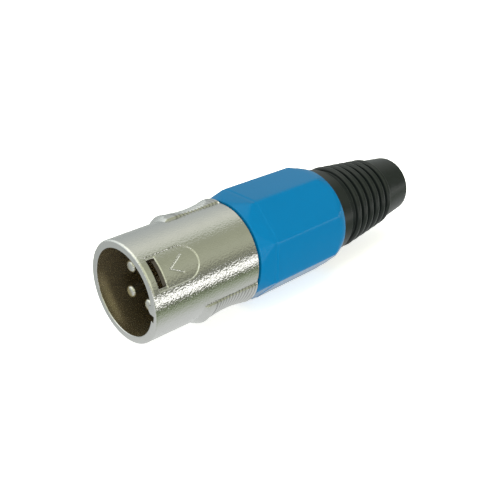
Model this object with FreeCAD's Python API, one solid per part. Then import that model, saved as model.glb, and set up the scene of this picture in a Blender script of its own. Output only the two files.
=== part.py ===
import FreeCAD, Part
import math
import os

from FreeCAD import Vector

# Three-pole cable plug, in millimetres. +X runs along the plug's axis from the mouth of its
# shell to the cable end of its boot, +Z is up, and the origin is the centre of the mouth.
# A bearing is an angle about the axis, from +Z and turning towards -Y.

# Degrees in a full turn about the axis
FULL_TURN = 360.0

# Mating barrel of the shell
BARREL_R = 9.5
BARREL_LENGTH = 23.2
MOUTH_WALL = 1.45
MOUTH_R = BARREL_R - MOUTH_WALL
RIM_OUTER_BEVEL = 0.45
RIM_INNER_BEVEL = 0.2

# Ring inside the barrel that the insert stops on
STOP_RING_TO_BACK = 10.2
STOP_RING_AT = BARREL_LENGTH - STOP_RING_TO_BACK
STOP_RING_THICKNESS = 1.2
STOP_RING_HEIGHT = 0.85
STOP_RING_R = MOUTH_R - STOP_RING_HEIGHT

# Threaded spigot behind the barrel
SPIGOT_STEP = 0.6
SPIGOT_R = BARREL_R - SPIGOT_STEP
SPIGOT_WALL = 0.9
BACK_BORE_R = SPIGOT_R - SPIGOT_WALL
SPIGOT_LENGTH = 9.8
SPIGOT_END = BARREL_LENGTH + SPIGOT_LENGTH

# Latch window, with the D-shaped recess behind it
LATCH_BEARING = 50.4
WINDOW_FRONT = 1.56
WINDOW_LENGTH = 1.6
WINDOW_SPAN_DEG = 32.3
RECESS_FRONT = 1.35
RECESS_HALF_WIDTH = 3.25
RECESS_ROUND_CENTRE = 7.65
RECESS_DEPTH = 0.18

# Key rib in the mouth, and the small notch beside it
KEY_FROM_LATCH_DEG = 38.9
KEY_ROUND_R = 0.9
KEY_SET_BACK = 0.05
KEY_CENTRE_R = MOUTH_R + KEY_SET_BACK
NOTCH_FROM_LATCH_DEG = 49.4
NOTCH_WIDTH = 1.3
NOTCH_DEPTH = 0.6
NOTCH_FLOOR_R = MOUTH_R + NOTCH_DEPTH
NOTCH_LENGTH = 2.4

# Thumb grips, one on each side of the latch, that end flush with the barrel
GRIP_FROM_LATCH_DEG = 90.0
GRIP_SPAN_DEG = 62.0
GRIP_LENGTH = 12.5
GRIP_FOOT = BARREL_LENGTH - GRIP_LENGTH
GRIP_RAMP = 1.5
GRIP_PEAK = GRIP_FOOT + GRIP_RAMP
GRIP_HEIGHT = 0.92
GRIP_PEAK_R = BARREL_R + GRIP_HEIGHT
GRIP_PEAK_TO_SADDLE = 5.3
GRIP_SADDLE = GRIP_PEAK + GRIP_PEAK_TO_SADDLE
GRIP_SADDLE_DROP = 0.57
GRIP_SADDLE_R = GRIP_PEAK_R - GRIP_SADDLE_DROP
GRIP_PEAK_BEVEL = 0.15
GRIP_CROWN_R = 7.45
TOOTH_PITCH = 0.75
TOOTH_DEPTH = 0.22

# Insulating insert
INSERT_LENGTH = 9.0
INSERT_END = STOP_RING_AT + INSERT_LENGTH
INSERT_NOSE_CLEARANCE = 0.1
INSERT_CLEARANCE = 0.1

# Contact pins, turned in one piece with their solder cups
PINS_FROM_LATCH_DEG = (90.0, -90.0, 180.0)
PIN_CIRCLE_R = 3.75
PIN_R = 1.2
PIN_REACH = 9.7
PIN_TIP = STOP_RING_AT - PIN_REACH
PIN_TIP_BEVEL = 0.6
PIN_SHANK_STEP = 0.22
PIN_SHANK_R = PIN_R + PIN_SHANK_STEP
PIN_FIT_CLEARANCE = 0.02
PIN_HEAD_STEP = 0.28
PIN_HEAD_R = PIN_SHANK_R + PIN_HEAD_STEP
PIN_HEAD_LENGTH = 1.2
PIN_HEAD_CLEARANCE = 0.05
CUP_WALL = 0.4
CUP_BORE_R = 0.95
CUP_R = CUP_BORE_R + CUP_WALL
CUP_LENGTH = 6.0
CUP_END = INSERT_END + CUP_LENGTH
CUP_DEPTH = 3.6
CUP_SCOOP_LENGTH = 2.4

# Sheet-metal contact that joins the shell to a solder tag
TAG_THICKNESS = 0.3
TAG_WIDTH = 2.6
TAG_SLOT_CLEARANCE = 0.1
TAG_SPRING_LENGTH = 6.4
TAG_FRONT = INSERT_END - TAG_SPRING_LENGTH
TAG_BED_DROP = 1.0
TAG_BED_R = BACK_BORE_R - TAG_BED_DROP
TAG_BUMP_GAP = 0.05
TAG_BEND_DROP = 1.5
TAG_BEND_R = TAG_BED_R - TAG_BEND_DROP
TAG_LENGTH = 5.0
TAG_END = INSERT_END + TAG_LENGTH
TAG_SLOT_DEPTH = 0.6

# Slotted chuck that grips the cable
CHUCK_GAP = 0.1
CHUCK_CLEARANCE = 0.15
CHUCK_RING_R = BACK_BORE_R - CHUCK_CLEARANCE
CHUCK_RING_WALL = 1.5
CHUCK_RING_PROUD = 0.2
CHUCK_RING_END = SPIGOT_END + CHUCK_RING_PROUD
CHUCK_TAPER_LENGTH = 9.8
CHUCK_JAW_END = CHUCK_RING_END + CHUCK_TAPER_LENGTH
CHUCK_TAPER_DROP = 1.3
CHUCK_TIP_R = CHUCK_RING_R - CHUCK_TAPER_DROP
CHUCK_GRIP_R = 3.65
CHUCK_TOOTH_PITCH = 1.5
CHUCK_TOOTH_DEPTH = 0.45
CHUCK_TOOTH_COUNT = 3
CHUCK_FINGERS = 4
CHUCK_SLIT_WIDTH = 1.5
CHUCK_SLIT_INTO_RING = 2.7
CHUCK_SLIT_START = CHUCK_RING_END - CHUCK_SLIT_INTO_RING
LUG_WIDTH = 2.2
LUG_HEIGHT = 0.55
LUG_BEHIND_BARREL = 2.1
LUG_START = BARREL_LENGTH + LUG_BEHIND_BARREL
LUG_LENGTH = 2.5
LUG_SIDE_CLEARANCE = 0.12

# Screwed collar, turned outside and then milled with eight flats
COLLAR_GAP = 0.22
COLLAR_FRONT = BARREL_LENGTH + COLLAR_GAP
COLLAR_WALL = 2.1
COLLAR_R = SPIGOT_R + COLLAR_WALL
COLLAR_FRONT_DROP = 1.2
COLLAR_FRONT_R = COLLAR_R - COLLAR_FRONT_DROP
COLLAR_FRONT_BEVEL = 0.3
COLLAR_SHOULDER_LENGTH = 2.93
COLLAR_SHOULDER = COLLAR_FRONT + COLLAR_SHOULDER_LENGTH
COLLAR_BACK_DROP = 0.15
COLLAR_BACK_R = COLLAR_R - COLLAR_BACK_DROP
COLLAR_PAST_CHUCK = 3.4
COLLAR_END = CHUCK_JAW_END + COLLAR_PAST_CHUCK
COLLAR_END_TAPER = 2.8
COLLAR_TAPER_END = COLLAR_END - COLLAR_END_TAPER
COLLAR_END_DROP = 1.2
COLLAR_END_R = COLLAR_R - COLLAR_END_DROP
COLLAR_END_BEVEL = 0.6
THREAD_CLEARANCE = 0.1
SPIGOT_END_GAP = 0.4
CONE_CLEARANCE = 0.3

# The flats, by how deep they are milled under the collar's full radius
FLAT_COUNT = 8
FLAT_FRONT_DEPTH = 1.12
FLAT_FRONT = COLLAR_R - FLAT_FRONT_DEPTH
FLAT_LAND_DEPTH = 0.86
FLAT_LAND = COLLAR_R - FLAT_LAND_DEPTH
FLAT_LAND_LENGTH = 1.05
FLAT_MAIN_START = COLLAR_SHOULDER + FLAT_LAND_LENGTH
FLAT_MAIN_DEPTH = 0.74
FLAT_MAIN = COLLAR_R - FLAT_MAIN_DEPTH
FLAT_BACK_DEPTH = 0.94
FLAT_BACK = COLLAR_R - FLAT_BACK_DEPTH

# Rubber boot, held by its flange in the back of the collar
BOOT_SEAT_GAP = 0.3
BOOT_FIT_CLEARANCE = 0.05
BOOT_FRONT = CHUCK_JAW_END + BOOT_SEAT_GAP + BOOT_FIT_CLEARANCE
BOOT_NECK_DROP = 0.95
BOOT_NECK_R = COLLAR_END_R - BOOT_NECK_DROP
BOOT_FLANGE_HEIGHT = 0.45
BOOT_FLANGE_R = BOOT_NECK_R + BOOT_FLANGE_HEIGHT
BOOT_FLANGE_LENGTH = 1.2
BOOT_NECK_BARE = 3.4
BOOT_NECK_END = COLLAR_END + BOOT_NECK_BARE
BOOT_NECK_BEVEL = 0.3
RING_COUNT = 6
RING_FIRST_GAP = 2.45
RING_FIRST = BOOT_NECK_END + RING_FIRST_GAP
RING_PITCH = 2.2
RING_FIRST_DROP = 0.13
RING_FIRST_R = BOOT_NECK_R - RING_FIRST_DROP
RING_TAPER = 1.3
RING_LAST_R = RING_FIRST_R - RING_TAPER
RING_WIDTH = 1.3
RING_GROOVE_DEPTH = 0.85
BOOT_TIP_DROP = 0.47
BOOT_TIP_START_R = RING_LAST_R - BOOT_TIP_DROP
BOOT_TIP_TAPER = 1.0
BOOT_TIP_R = BOOT_TIP_START_R - BOOT_TIP_TAPER
BOOT_TIP_LENGTH = 7.3
BOOT_RINGS_END = RING_FIRST + (RING_COUNT - 1) * RING_PITCH + RING_WIDTH / 2
BOOT_END = BOOT_RINGS_END + BOOT_TIP_LENGTH
BOOT_END_BEVEL = 0.6
CABLE_HOLE_R = 3.7
CABLE_HOLE_LENGTH = 13.0
BOOT_WALL = 2.85
BOOT_THROAT_R = BOOT_NECK_R - BOOT_WALL

# How far a cutter or a root reaches past the faces that it joins or cuts
REACH = 1.0
ROOT = 0.3


def ray(bearing):
    """Unit vector across the axis at a bearing."""
    angle = math.radians(bearing)
    return Vector(0, -math.sin(angle), math.cos(angle))


def outline(corners, rounded=False):
    """Closed face in the XZ plane through (x, r, trim) corners.

    A corner with a trim is cut back by it along both sides, by a bevel or by a tangent arc.
    """
    points = [Vector(corner[0], 0, corner[1]) for corner in corners]
    edges = []
    last_end = None
    first_start = None
    for index, corner in enumerate(corners):
        here = points[index]
        trim = corner[2] if len(corner) > 2 else 0.0
        back = (points[index - 1] - here).normalize()
        ahead = (points[(index + 1) % len(points)] - here).normalize()
        start = here + back * trim
        end = here + ahead * trim
        if last_end is None:
            first_start = start
        else:
            edges.append(Part.makeLine(last_end, start))
        if trim > 0 and rounded:
            half = back.getAngle(ahead) / 2
            middle = here + (back + ahead).normalize() * (trim / math.cos(half) - trim * math.tan(half))
            edges.append(Part.Arc(start, middle, end).toShape())
        elif trim > 0:
            edges.append(Part.makeLine(start, end))
        last_end = end
    edges.append(Part.makeLine(last_end, first_start))
    return Part.Face(Part.Wire(edges))


def turned(corners, bearing=0.0, sweep=FULL_TURN):
    """Solid of a corner list turned about the axis, centred on a bearing."""
    face = outline(corners)
    face.rotate(Vector(), Vector(1, 0, 0), bearing - sweep / 2)
    return face.revolve(Vector(), Vector(1, 0, 0), sweep)


def block(x_start, x_end, width, r_start, r_end, bearing):
    """Box that stands out along a bearing, from one radius to another."""
    box = Part.makeBox(x_end - x_start, width, r_end - r_start)
    box.translate(Vector(x_start, -width / 2, r_start))
    box.rotate(Vector(), Vector(1, 0, 0), bearing)
    return box


def along_bearing(face, width, bearing):
    """Solid of a face in the XZ plane, spread to a width across it and turned to a bearing."""
    solid = face.extrude(Vector(0, width, 0))
    solid.translate(Vector(0, -width / 2, 0))
    solid.rotate(Vector(), Vector(1, 0, 0), bearing)
    return solid


def pin_bearings():
    """Bearings of the pins: one on each side of the latch, and one opposite it."""
    return [LATCH_BEARING + offset for offset in PINS_FROM_LATCH_DEG]


def saddle_r(x):
    """Radius of the thumb grip's hollow at x, on an arc that has its low point at the saddle."""
    half_chord = GRIP_SADDLE - GRIP_PEAK
    rise = GRIP_PEAK_R - GRIP_SADDLE_R
    arc_r = (half_chord ** 2 + rise ** 2) / (2 * rise)
    return GRIP_SADDLE_R + arc_r - math.sqrt(arc_r ** 2 - (x - GRIP_SADDLE) ** 2)


def grip(bearing):
    """Thumb grip: a ramp up to a peak, then a hollow cut across by fine teeth.

    A crown rounds its top across, so that it runs out lower at both sides.
    """
    tooth_count = int((BARREL_LENGTH - GRIP_PEAK - TOOTH_PITCH) / TOOTH_PITCH)
    first_tooth = BARREL_LENGTH - tooth_count * TOOTH_PITCH
    corners = [(GRIP_FOOT - REACH, BARREL_R - ROOT)]
    corners.append((GRIP_FOOT, BARREL_R))
    corners.append((GRIP_PEAK, GRIP_PEAK_R, GRIP_PEAK_BEVEL))
    for tooth in range(tooth_count):
        groove = first_tooth + tooth * TOOTH_PITCH
        crest = groove + TOOTH_PITCH / 2
        corners.append((groove, saddle_r(groove) - TOOTH_DEPTH))
        corners.append((crest, saddle_r(crest)))
    corners.append((BARREL_LENGTH, saddle_r(BARREL_LENGTH) - TOOTH_DEPTH / 2))
    corners.append((BARREL_LENGTH, BARREL_R - ROOT))
    crown_axis = ray(bearing) * (GRIP_PEAK_R - GRIP_CROWN_R)
    crown = Part.makeCylinder(GRIP_CROWN_R, BARREL_LENGTH, crown_axis, Vector(1, 0, 0))
    return turned(corners, bearing, GRIP_SPAN_DEG).common(crown)


def window_cutter():
    """Slot through the barrel that the socket's latch drops into."""
    back = WINDOW_FRONT + WINDOW_LENGTH
    corners = [(WINDOW_FRONT, MOUTH_R - REACH), (back, MOUTH_R - REACH)]
    corners += [(back, BARREL_R + REACH), (WINDOW_FRONT, BARREL_R + REACH)]
    return turned(corners, LATCH_BEARING, WINDOW_SPAN_DEG)


def recess_cutter():
    """Shallow D-shaped recess round and behind the latch window."""
    side = RECESS_HALF_WIDTH
    corner_a = Vector(RECESS_FRONT, -side, 0)
    corner_b = Vector(RECESS_ROUND_CENTRE, -side, 0)
    tip = Vector(RECESS_ROUND_CENTRE + side, 0, 0)
    corner_c = Vector(RECESS_ROUND_CENTRE, side, 0)
    corner_d = Vector(RECESS_FRONT, side, 0)
    edges = [Part.makeLine(corner_a, corner_b)]
    edges.append(Part.Arc(corner_b, tip, corner_c).toShape())
    edges.append(Part.makeLine(corner_c, corner_d))
    edges.append(Part.makeLine(corner_d, corner_a))
    plate = Part.Face(Part.Wire(edges)).extrude(Vector(0, 0, BARREL_R + REACH))
    plate.rotate(Vector(), Vector(1, 0, 0), LATCH_BEARING)
    floor_r = BARREL_R - RECESS_DEPTH
    band_end = RECESS_ROUND_CENTRE + side + REACH
    band = [(0, floor_r), (band_end, floor_r), (band_end, BARREL_R + REACH), (0, BARREL_R + REACH)]
    return plate.common(turned(band))


def key_rib():
    """Round-topped rib along the mouth's wall, that starts flush with the rim."""
    centre = ray(LATCH_BEARING + KEY_FROM_LATCH_DEG) * KEY_CENTRE_R
    return Part.makeCylinder(KEY_ROUND_R, STOP_RING_AT + ROOT, centre, Vector(1, 0, 0))


def lug_bearings():
    """Bearings of the two lugs that keep the chuck from turning in the shell."""
    return [LATCH_BEARING + GRIP_FROM_LATCH_DEG, LATCH_BEARING - GRIP_FROM_LATCH_DEG]


def lug_slots():
    """Slots in the spigot, open at its end, that the chuck's lugs slide in."""
    width = LUG_WIDTH + 2 * LUG_SIDE_CLEARANCE
    start = LUG_START - CHUCK_GAP
    end = SPIGOT_END + REACH
    return [block(start, end, width, BACK_BORE_R - REACH, SPIGOT_R + REACH, bearing)
            for bearing in lug_bearings()]


def shell():
    """Cast shell: mating barrel, thumb grips, latch window, key rib and threaded spigot."""
    ring_end = STOP_RING_AT + STOP_RING_THICKNESS
    body = turned([
        (0, MOUTH_R, RIM_INNER_BEVEL),
        (0, BARREL_R, RIM_OUTER_BEVEL),
        (BARREL_LENGTH, BARREL_R),
        (BARREL_LENGTH, SPIGOT_R),
        (SPIGOT_END, SPIGOT_R),
        (SPIGOT_END, BACK_BORE_R),
        (ring_end, BACK_BORE_R),
        (ring_end, STOP_RING_R),
        (STOP_RING_AT, STOP_RING_R),
        (STOP_RING_AT, MOUTH_R),
    ])
    grips = [grip(LATCH_BEARING + side * GRIP_FROM_LATCH_DEG) for side in (1, -1)]
    body = body.fuse(grips + [key_rib()])
    notch = block(-REACH, NOTCH_LENGTH, NOTCH_WIDTH, MOUTH_R - REACH, NOTCH_FLOOR_R,
                  LATCH_BEARING + NOTCH_FROM_LATCH_DEG)
    body = body.cut([window_cutter(), recess_cutter(), notch] + lug_slots())
    return body.removeSplitter()


def tag_slot_width():
    """Width of the insert's slot for the shell contact."""
    return TAG_WIDTH + 2 * TAG_SLOT_CLEARANCE


def insert():
    """Moulded insert that stops on the shell's inner ring and holds the pins."""
    ring_end = STOP_RING_AT + STOP_RING_THICKNESS
    nose_r = STOP_RING_R - INSERT_NOSE_CLEARANCE
    body_r = BACK_BORE_R - INSERT_CLEARANCE
    body = turned([
        (STOP_RING_AT, 0),
        (STOP_RING_AT, nose_r),
        (ring_end, nose_r),
        (ring_end, body_r),
        (INSERT_END, body_r),
        (INSERT_END, 0),
    ])
    cutters = []
    for bearing in pin_bearings():
        axis = ray(bearing) * PIN_CIRCLE_R
        hole_start = axis + Vector(STOP_RING_AT - REACH, 0, 0)
        hole_length = INSERT_END - STOP_RING_AT + 2 * REACH
        hole_r = PIN_SHANK_R + PIN_FIT_CLEARANCE
        cutters.append(Part.makeCylinder(hole_r, hole_length, hole_start, Vector(1, 0, 0)))
        seat_start = axis + Vector(INSERT_END - PIN_HEAD_LENGTH, 0, 0)
        seat_r = PIN_HEAD_R + PIN_HEAD_CLEARANCE
        cutters.append(Part.makeCylinder(seat_r, PIN_HEAD_LENGTH + REACH, seat_start, Vector(1, 0, 0)))
    width = tag_slot_width()
    end = INSERT_END + REACH
    bed = TAG_BED_R - TAG_THICKNESS / 2
    cutters.append(block(TAG_FRONT - TAG_SLOT_CLEARANCE, end, width, bed, BACK_BORE_R, LATCH_BEARING))
    inner_r = TAG_BEND_R - TAG_THICKNESS / 2 - TAG_SLOT_CLEARANCE
    cutters.append(block(INSERT_END - TAG_SLOT_DEPTH, end, width, inner_r, BACK_BORE_R, LATCH_BEARING))
    return body.cut(cutters)


def pin(bearing):
    """Turned contact pin: domed tip, shank, seated head and a scooped solder cup."""
    head_start = INSERT_END - PIN_HEAD_LENGTH
    cup_floor = CUP_END - CUP_DEPTH
    body = turned([
        (PIN_TIP, 0),
        (PIN_TIP, PIN_R, PIN_TIP_BEVEL),
        (STOP_RING_AT, PIN_R),
        (STOP_RING_AT, PIN_SHANK_R),
        (head_start, PIN_SHANK_R),
        (head_start, PIN_HEAD_R),
        (INSERT_END, PIN_HEAD_R),
        (INSERT_END, CUP_R),
        (CUP_END, CUP_R),
        (CUP_END, CUP_BORE_R),
        (cup_floor, CUP_BORE_R),
        (cup_floor, 0),
    ])
    scoop = block(CUP_END - CUP_SCOOP_LENGTH, CUP_END + REACH, 2 * CUP_R + REACH, 0, CUP_R + REACH, bearing)
    body = body.cut(scoop)
    body.translate(ray(bearing) * PIN_CIRCLE_R)
    return body


def shell_contact():
    """Folded strip: a sprung bump that touches the shell, a bend and a solder tag."""
    half = TAG_THICKNESS / 2
    low = TAG_BED_R
    top = BACK_BORE_R - TAG_BUMP_GAP
    bend_x = INSERT_END - TAG_SLOT_DEPTH + half
    middle = (TAG_FRONT + bend_x) / 2
    quarter = (bend_x - TAG_FRONT) / 4
    corners = [
        (TAG_FRONT, low - half),
        (middle - quarter, low - half, half),
        (middle, top - 2 * half, quarter / 2),
        (middle + quarter, low - half, half),
        (bend_x - half, low - half),
        (bend_x - half, TAG_BEND_R - half),
        (TAG_END, TAG_BEND_R - half),
        (TAG_END, TAG_BEND_R + half),
        (bend_x + half, TAG_BEND_R + half),
        (bend_x + half, low + half, half),
        (middle + quarter, low + half, half),
        (middle, top, quarter / 2),
        (middle - quarter, low + half, half),
        (TAG_FRONT, low + half),
    ]
    return along_bearing(outline(corners, rounded=True), TAG_WIDTH, LATCH_BEARING)


def chuck_outside_r(x):
    """Radius of the chuck's tapered fingers at x."""
    return CHUCK_RING_R - CHUCK_TAPER_DROP * (x - CHUCK_RING_END) / CHUCK_TAPER_LENGTH


def chuck():
    """Chuck: a plain ring with two lugs, then tapered fingers with gripping teeth inside."""
    start = INSERT_END + CHUCK_GAP
    inner_r = CHUCK_RING_R - CHUCK_RING_WALL
    corners = [
        (start, inner_r),
        (start, CHUCK_RING_R),
        (CHUCK_RING_END, CHUCK_RING_R),
        (CHUCK_JAW_END, CHUCK_TIP_R),
        (CHUCK_JAW_END, CHUCK_GRIP_R + CHUCK_TOOTH_DEPTH),
    ]
    for tooth in range(CHUCK_TOOTH_COUNT):
        root = CHUCK_JAW_END - (tooth + 1) * CHUCK_TOOTH_PITCH
        crest = root + CHUCK_TOOTH_PITCH / 2
        corners.append((crest, CHUCK_GRIP_R))
        corners.append((root, CHUCK_GRIP_R + CHUCK_TOOTH_DEPTH))
    corners.append((CHUCK_RING_END, inner_r))
    body = turned(corners)
    lug_end = LUG_START + LUG_LENGTH
    lugs = [block(LUG_START, lug_end, LUG_WIDTH, inner_r + ROOT, CHUCK_RING_R + LUG_HEIGHT, bearing)
            for bearing in lug_bearings()]
    slits = []
    finger_span = FULL_TURN / CHUCK_FINGERS
    for finger in range(CHUCK_FINGERS):
        bearing = LATCH_BEARING + finger_span / 2 + finger * finger_span
        slits.append(block(CHUCK_SLIT_START, CHUCK_JAW_END + REACH, CHUCK_SLIT_WIDTH,
                           CHUCK_GRIP_R - REACH, CHUCK_RING_R + REACH, bearing))
    return body.fuse(lugs).cut(slits).removeSplitter()


def flat_cutter(bearing):
    """What is milled away above one flat: front bevel, narrow land and long main flat."""
    top = COLLAR_R + REACH
    slope = (FLAT_LAND - FLAT_FRONT) / COLLAR_SHOULDER_LENGTH
    corners = [
        (COLLAR_FRONT - REACH, FLAT_FRONT - REACH * slope),
        (COLLAR_SHOULDER, FLAT_LAND),
        (FLAT_MAIN_START, FLAT_LAND),
        (FLAT_MAIN_START, FLAT_MAIN),
        (COLLAR_END + REACH, FLAT_BACK),
        (COLLAR_END + REACH, top),
        (COLLAR_FRONT - REACH, top),
    ]
    return along_bearing(outline(corners), 2 * COLLAR_R, bearing)


def collar_inside():
    """Hollow of the collar: thread bore, closing cone, flange groove and back opening."""
    thread_r = SPIGOT_R + THREAD_CLEARANCE
    cone_start = SPIGOT_END + SPIGOT_END_GAP
    cone_end = BOOT_FRONT - BOOT_FIT_CLEARANCE
    flange_end = BOOT_FRONT + BOOT_FLANGE_LENGTH + BOOT_FIT_CLEARANCE
    neck_r = BOOT_NECK_R + BOOT_FIT_CLEARANCE
    return turned([
        (COLLAR_FRONT - REACH, 0),
        (COLLAR_FRONT - REACH, thread_r),
        (cone_start, thread_r),
        (cone_start, chuck_outside_r(cone_start) + CONE_CLEARANCE),
        (cone_end, chuck_outside_r(cone_end) + CONE_CLEARANCE),
        (cone_end, BOOT_FLANGE_R + BOOT_FIT_CLEARANCE),
        (flange_end, BOOT_FLANGE_R + BOOT_FIT_CLEARANCE),
        (flange_end, neck_r),
        (COLLAR_END + REACH, neck_r),
        (COLLAR_END + REACH, 0),
    ])


def collar():
    """Screwed collar: turned outside, eight milled flats and a stepped hollow."""
    outside = turned([
        (COLLAR_FRONT, 0),
        (COLLAR_FRONT, COLLAR_FRONT_R, COLLAR_FRONT_BEVEL),
        (COLLAR_SHOULDER, COLLAR_R, COLLAR_FRONT_BEVEL),
        (COLLAR_TAPER_END, COLLAR_BACK_R, COLLAR_END_BEVEL),
        (COLLAR_END, COLLAR_END_R, COLLAR_END_BEVEL),
        (COLLAR_END, 0),
    ])
    flats = [flat_cutter(FULL_TURN / FLAT_COUNT * step) for step in range(FLAT_COUNT)]
    return outside.cut(flats + [collar_inside()])


def ring_r(index):
    """Crest radius of one of the boot's rings."""
    share = index / (RING_COUNT - 1)
    return RING_FIRST_R + (RING_LAST_R - RING_FIRST_R) * share


def boot():
    """Rubber boot: flange, plain neck, tapering row of rings and a smooth end."""
    flange_end = BOOT_FRONT + BOOT_FLANGE_LENGTH
    last_low = RING_FIRST_R - RING_GROOVE_DEPTH
    corners = [
        (BOOT_FRONT, BOOT_THROAT_R),
        (BOOT_FRONT, BOOT_FLANGE_R),
        (flange_end, BOOT_FLANGE_R),
        (flange_end, BOOT_NECK_R),
        (BOOT_NECK_END, BOOT_NECK_R, BOOT_NECK_BEVEL),
        (BOOT_NECK_END, last_low),
    ]
    for index in range(RING_COUNT):
        crest = ring_r(index)
        start = RING_FIRST + index * RING_PITCH - RING_WIDTH / 2
        low = ring_r(index + 1) - RING_GROOVE_DEPTH if index < RING_COUNT - 1 else BOOT_TIP_START_R
        corners.append((start, last_low))
        corners.append((start, crest))
        corners.append((start + RING_WIDTH, crest))
        corners.append((start + RING_WIDTH, low))
        last_low = low
    corners += [
        (BOOT_END, BOOT_TIP_R, BOOT_END_BEVEL),
        (BOOT_END, CABLE_HOLE_R),
        (BOOT_END - CABLE_HOLE_LENGTH, CABLE_HOLE_R),
        (BOOT_END - CABLE_HOLE_LENGTH, BOOT_THROAT_R),
    ]
    return turned(corners)


def main():
    """Build every node and write it to its STEP file."""
    os.makedirs("parts", exist_ok=True)
    nodes = {
        "shell": shell(),
        "insert": insert(),
        "shell_contact": shell_contact(),
        "chuck": chuck(),
        "collar": collar(),
        "boot": boot(),
    }
    for number, bearing in enumerate(pin_bearings(), start=1):
        nodes["pin_%d" % number] = pin(bearing)
    for name, shape in nodes.items():
        solid = shape.Solids[0]
        print(name, "solids", len(shape.Solids), "valid", solid.isValid(), "mm3", round(solid.Volume, 1))
        solid.exportStep("parts/%s.step" % name)


main()
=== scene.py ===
"""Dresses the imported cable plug: shell, screwed collar, ribbed boot, contact pins and studio.

Lengths in the classes below are in millimetres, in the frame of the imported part: +X runs from
the mouth of the shell to the cable end of the boot, +Z is up, and the origin is the centre of
the mouth. A bearing is an angle about the axis, from +Z and turning towards -Y.
"""

import logging
import math
from dataclasses import dataclass, field
from enum import Enum
from typing import Callable, Iterable, Sequence

import bmesh
import bpy
from mathutils import Matrix, Vector
from mathutils.geometry import delaunay_2d_cdt


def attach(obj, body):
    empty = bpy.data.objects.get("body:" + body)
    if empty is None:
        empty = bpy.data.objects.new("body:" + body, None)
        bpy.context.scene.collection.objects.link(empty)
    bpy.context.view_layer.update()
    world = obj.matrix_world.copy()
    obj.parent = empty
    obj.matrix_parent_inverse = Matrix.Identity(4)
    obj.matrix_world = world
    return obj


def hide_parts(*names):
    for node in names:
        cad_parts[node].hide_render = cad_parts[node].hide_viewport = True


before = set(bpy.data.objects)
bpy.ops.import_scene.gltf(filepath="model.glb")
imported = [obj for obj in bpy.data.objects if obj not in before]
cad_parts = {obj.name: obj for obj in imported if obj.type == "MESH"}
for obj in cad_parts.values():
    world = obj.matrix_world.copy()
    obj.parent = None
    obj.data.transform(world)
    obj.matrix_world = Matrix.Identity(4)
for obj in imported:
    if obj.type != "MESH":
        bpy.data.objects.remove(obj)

MM = 0.001
FULL_TURN = 360.0
HALF_TURN = 180.0
LATCH_BEARING = 50.4
# Pins 1, 2 and 3, by their bearings from the latch
PIN_BEARINGS = (90.0, -90.0, 180.0)
# Points nearer than this, in millimetres, are joined
JOIN_GAP = 0.0005
FINE_JOIN_GAP = 0.0002
# Places on a flat skin nearer than this, in millimetres, are the same place
SAME_PLACE = 1e-4
LOG = logging.getLogger("cable_plug")

Point = tuple[float, float]
Number = float | int
Triangle = tuple[int, int, int]
Radius = Callable[[float, float], float]
Along = Callable[[float, float], float | None]


class Body(str, Enum):
    """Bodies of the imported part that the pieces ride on."""

    PLUG = "plug_body"
    COLLAR = "collar_body"


class Side(Enum):
    """Which skin of the shell a face belongs to."""

    NONE = 0
    OUTER = 1
    INNER = 2


class Maths(str, Enum):
    """Operations of a Math node that the expressions use."""

    ADD = "ADD"
    SUBTRACT = "SUBTRACT"
    MULTIPLY = "MULTIPLY"
    DIVIDE = "DIVIDE"
    POWER = "POWER"
    MODULO = "FLOORED_MODULO"
    FLOOR = "FLOOR"
    SINE = "SINE"
    COSINE = "COSINE"
    ABSOLUTE = "ABSOLUTE"
    SMOOTH_MIN = "SMOOTH_MIN"
    ARCTAN2 = "ARCTAN2"
    GREATER = "GREATER_THAN"


class Value:
    """A socket that can be used in arithmetic, which adds its Math nodes."""

    def __init__(self, graph: "Graph", socket: bpy.types.NodeSocket) -> None:
        """Wrap a socket.

        Args:
            graph: The graph that owns the socket.
            socket: The output to wrap.
        """
        self.graph = graph
        self.socket = socket

    def _with(self, operation: Maths, *others: "Value | Number") -> "Value":
        """Join this value to others with one Math node."""
        return self.graph.maths(operation, self, *others)

    def __add__(self, other: "Value | Number") -> "Value":
        """Sum of two values."""
        return self._with(Maths.ADD, other)

    __radd__ = __add__

    def __sub__(self, other: "Value | Number") -> "Value":
        """Difference of two values."""
        return self._with(Maths.SUBTRACT, other)

    def __rsub__(self, other: Number) -> "Value":
        """A number less this value."""
        return self.graph.maths(Maths.SUBTRACT, other, self)

    def __mul__(self, other: "Value | Number") -> "Value":
        """Product of two values."""
        return self._with(Maths.MULTIPLY, other)

    __rmul__ = __mul__

    def __truediv__(self, other: "Value | Number") -> "Value":
        """Quotient of two values."""
        return self._with(Maths.DIVIDE, other)

    def __rtruediv__(self, other: Number) -> "Value":
        """A number over this value."""
        return self.graph.maths(Maths.DIVIDE, other, self)

    def __pow__(self, power: Number) -> "Value":
        """This value raised to a power."""
        return self._with(Maths.POWER, power)

    def __neg__(self) -> "Value":
        """This value with its sign changed."""
        return self * -1.0

    def __mod__(self, other: "Value | Number") -> "Value":
        """Remainder that is never negative."""
        return self._with(Maths.MODULO, other)

    def __gt__(self, other: "Value | Number") -> "Value":
        """One where this value is the larger, and nought elsewhere."""
        return self._with(Maths.GREATER, other)


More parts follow.
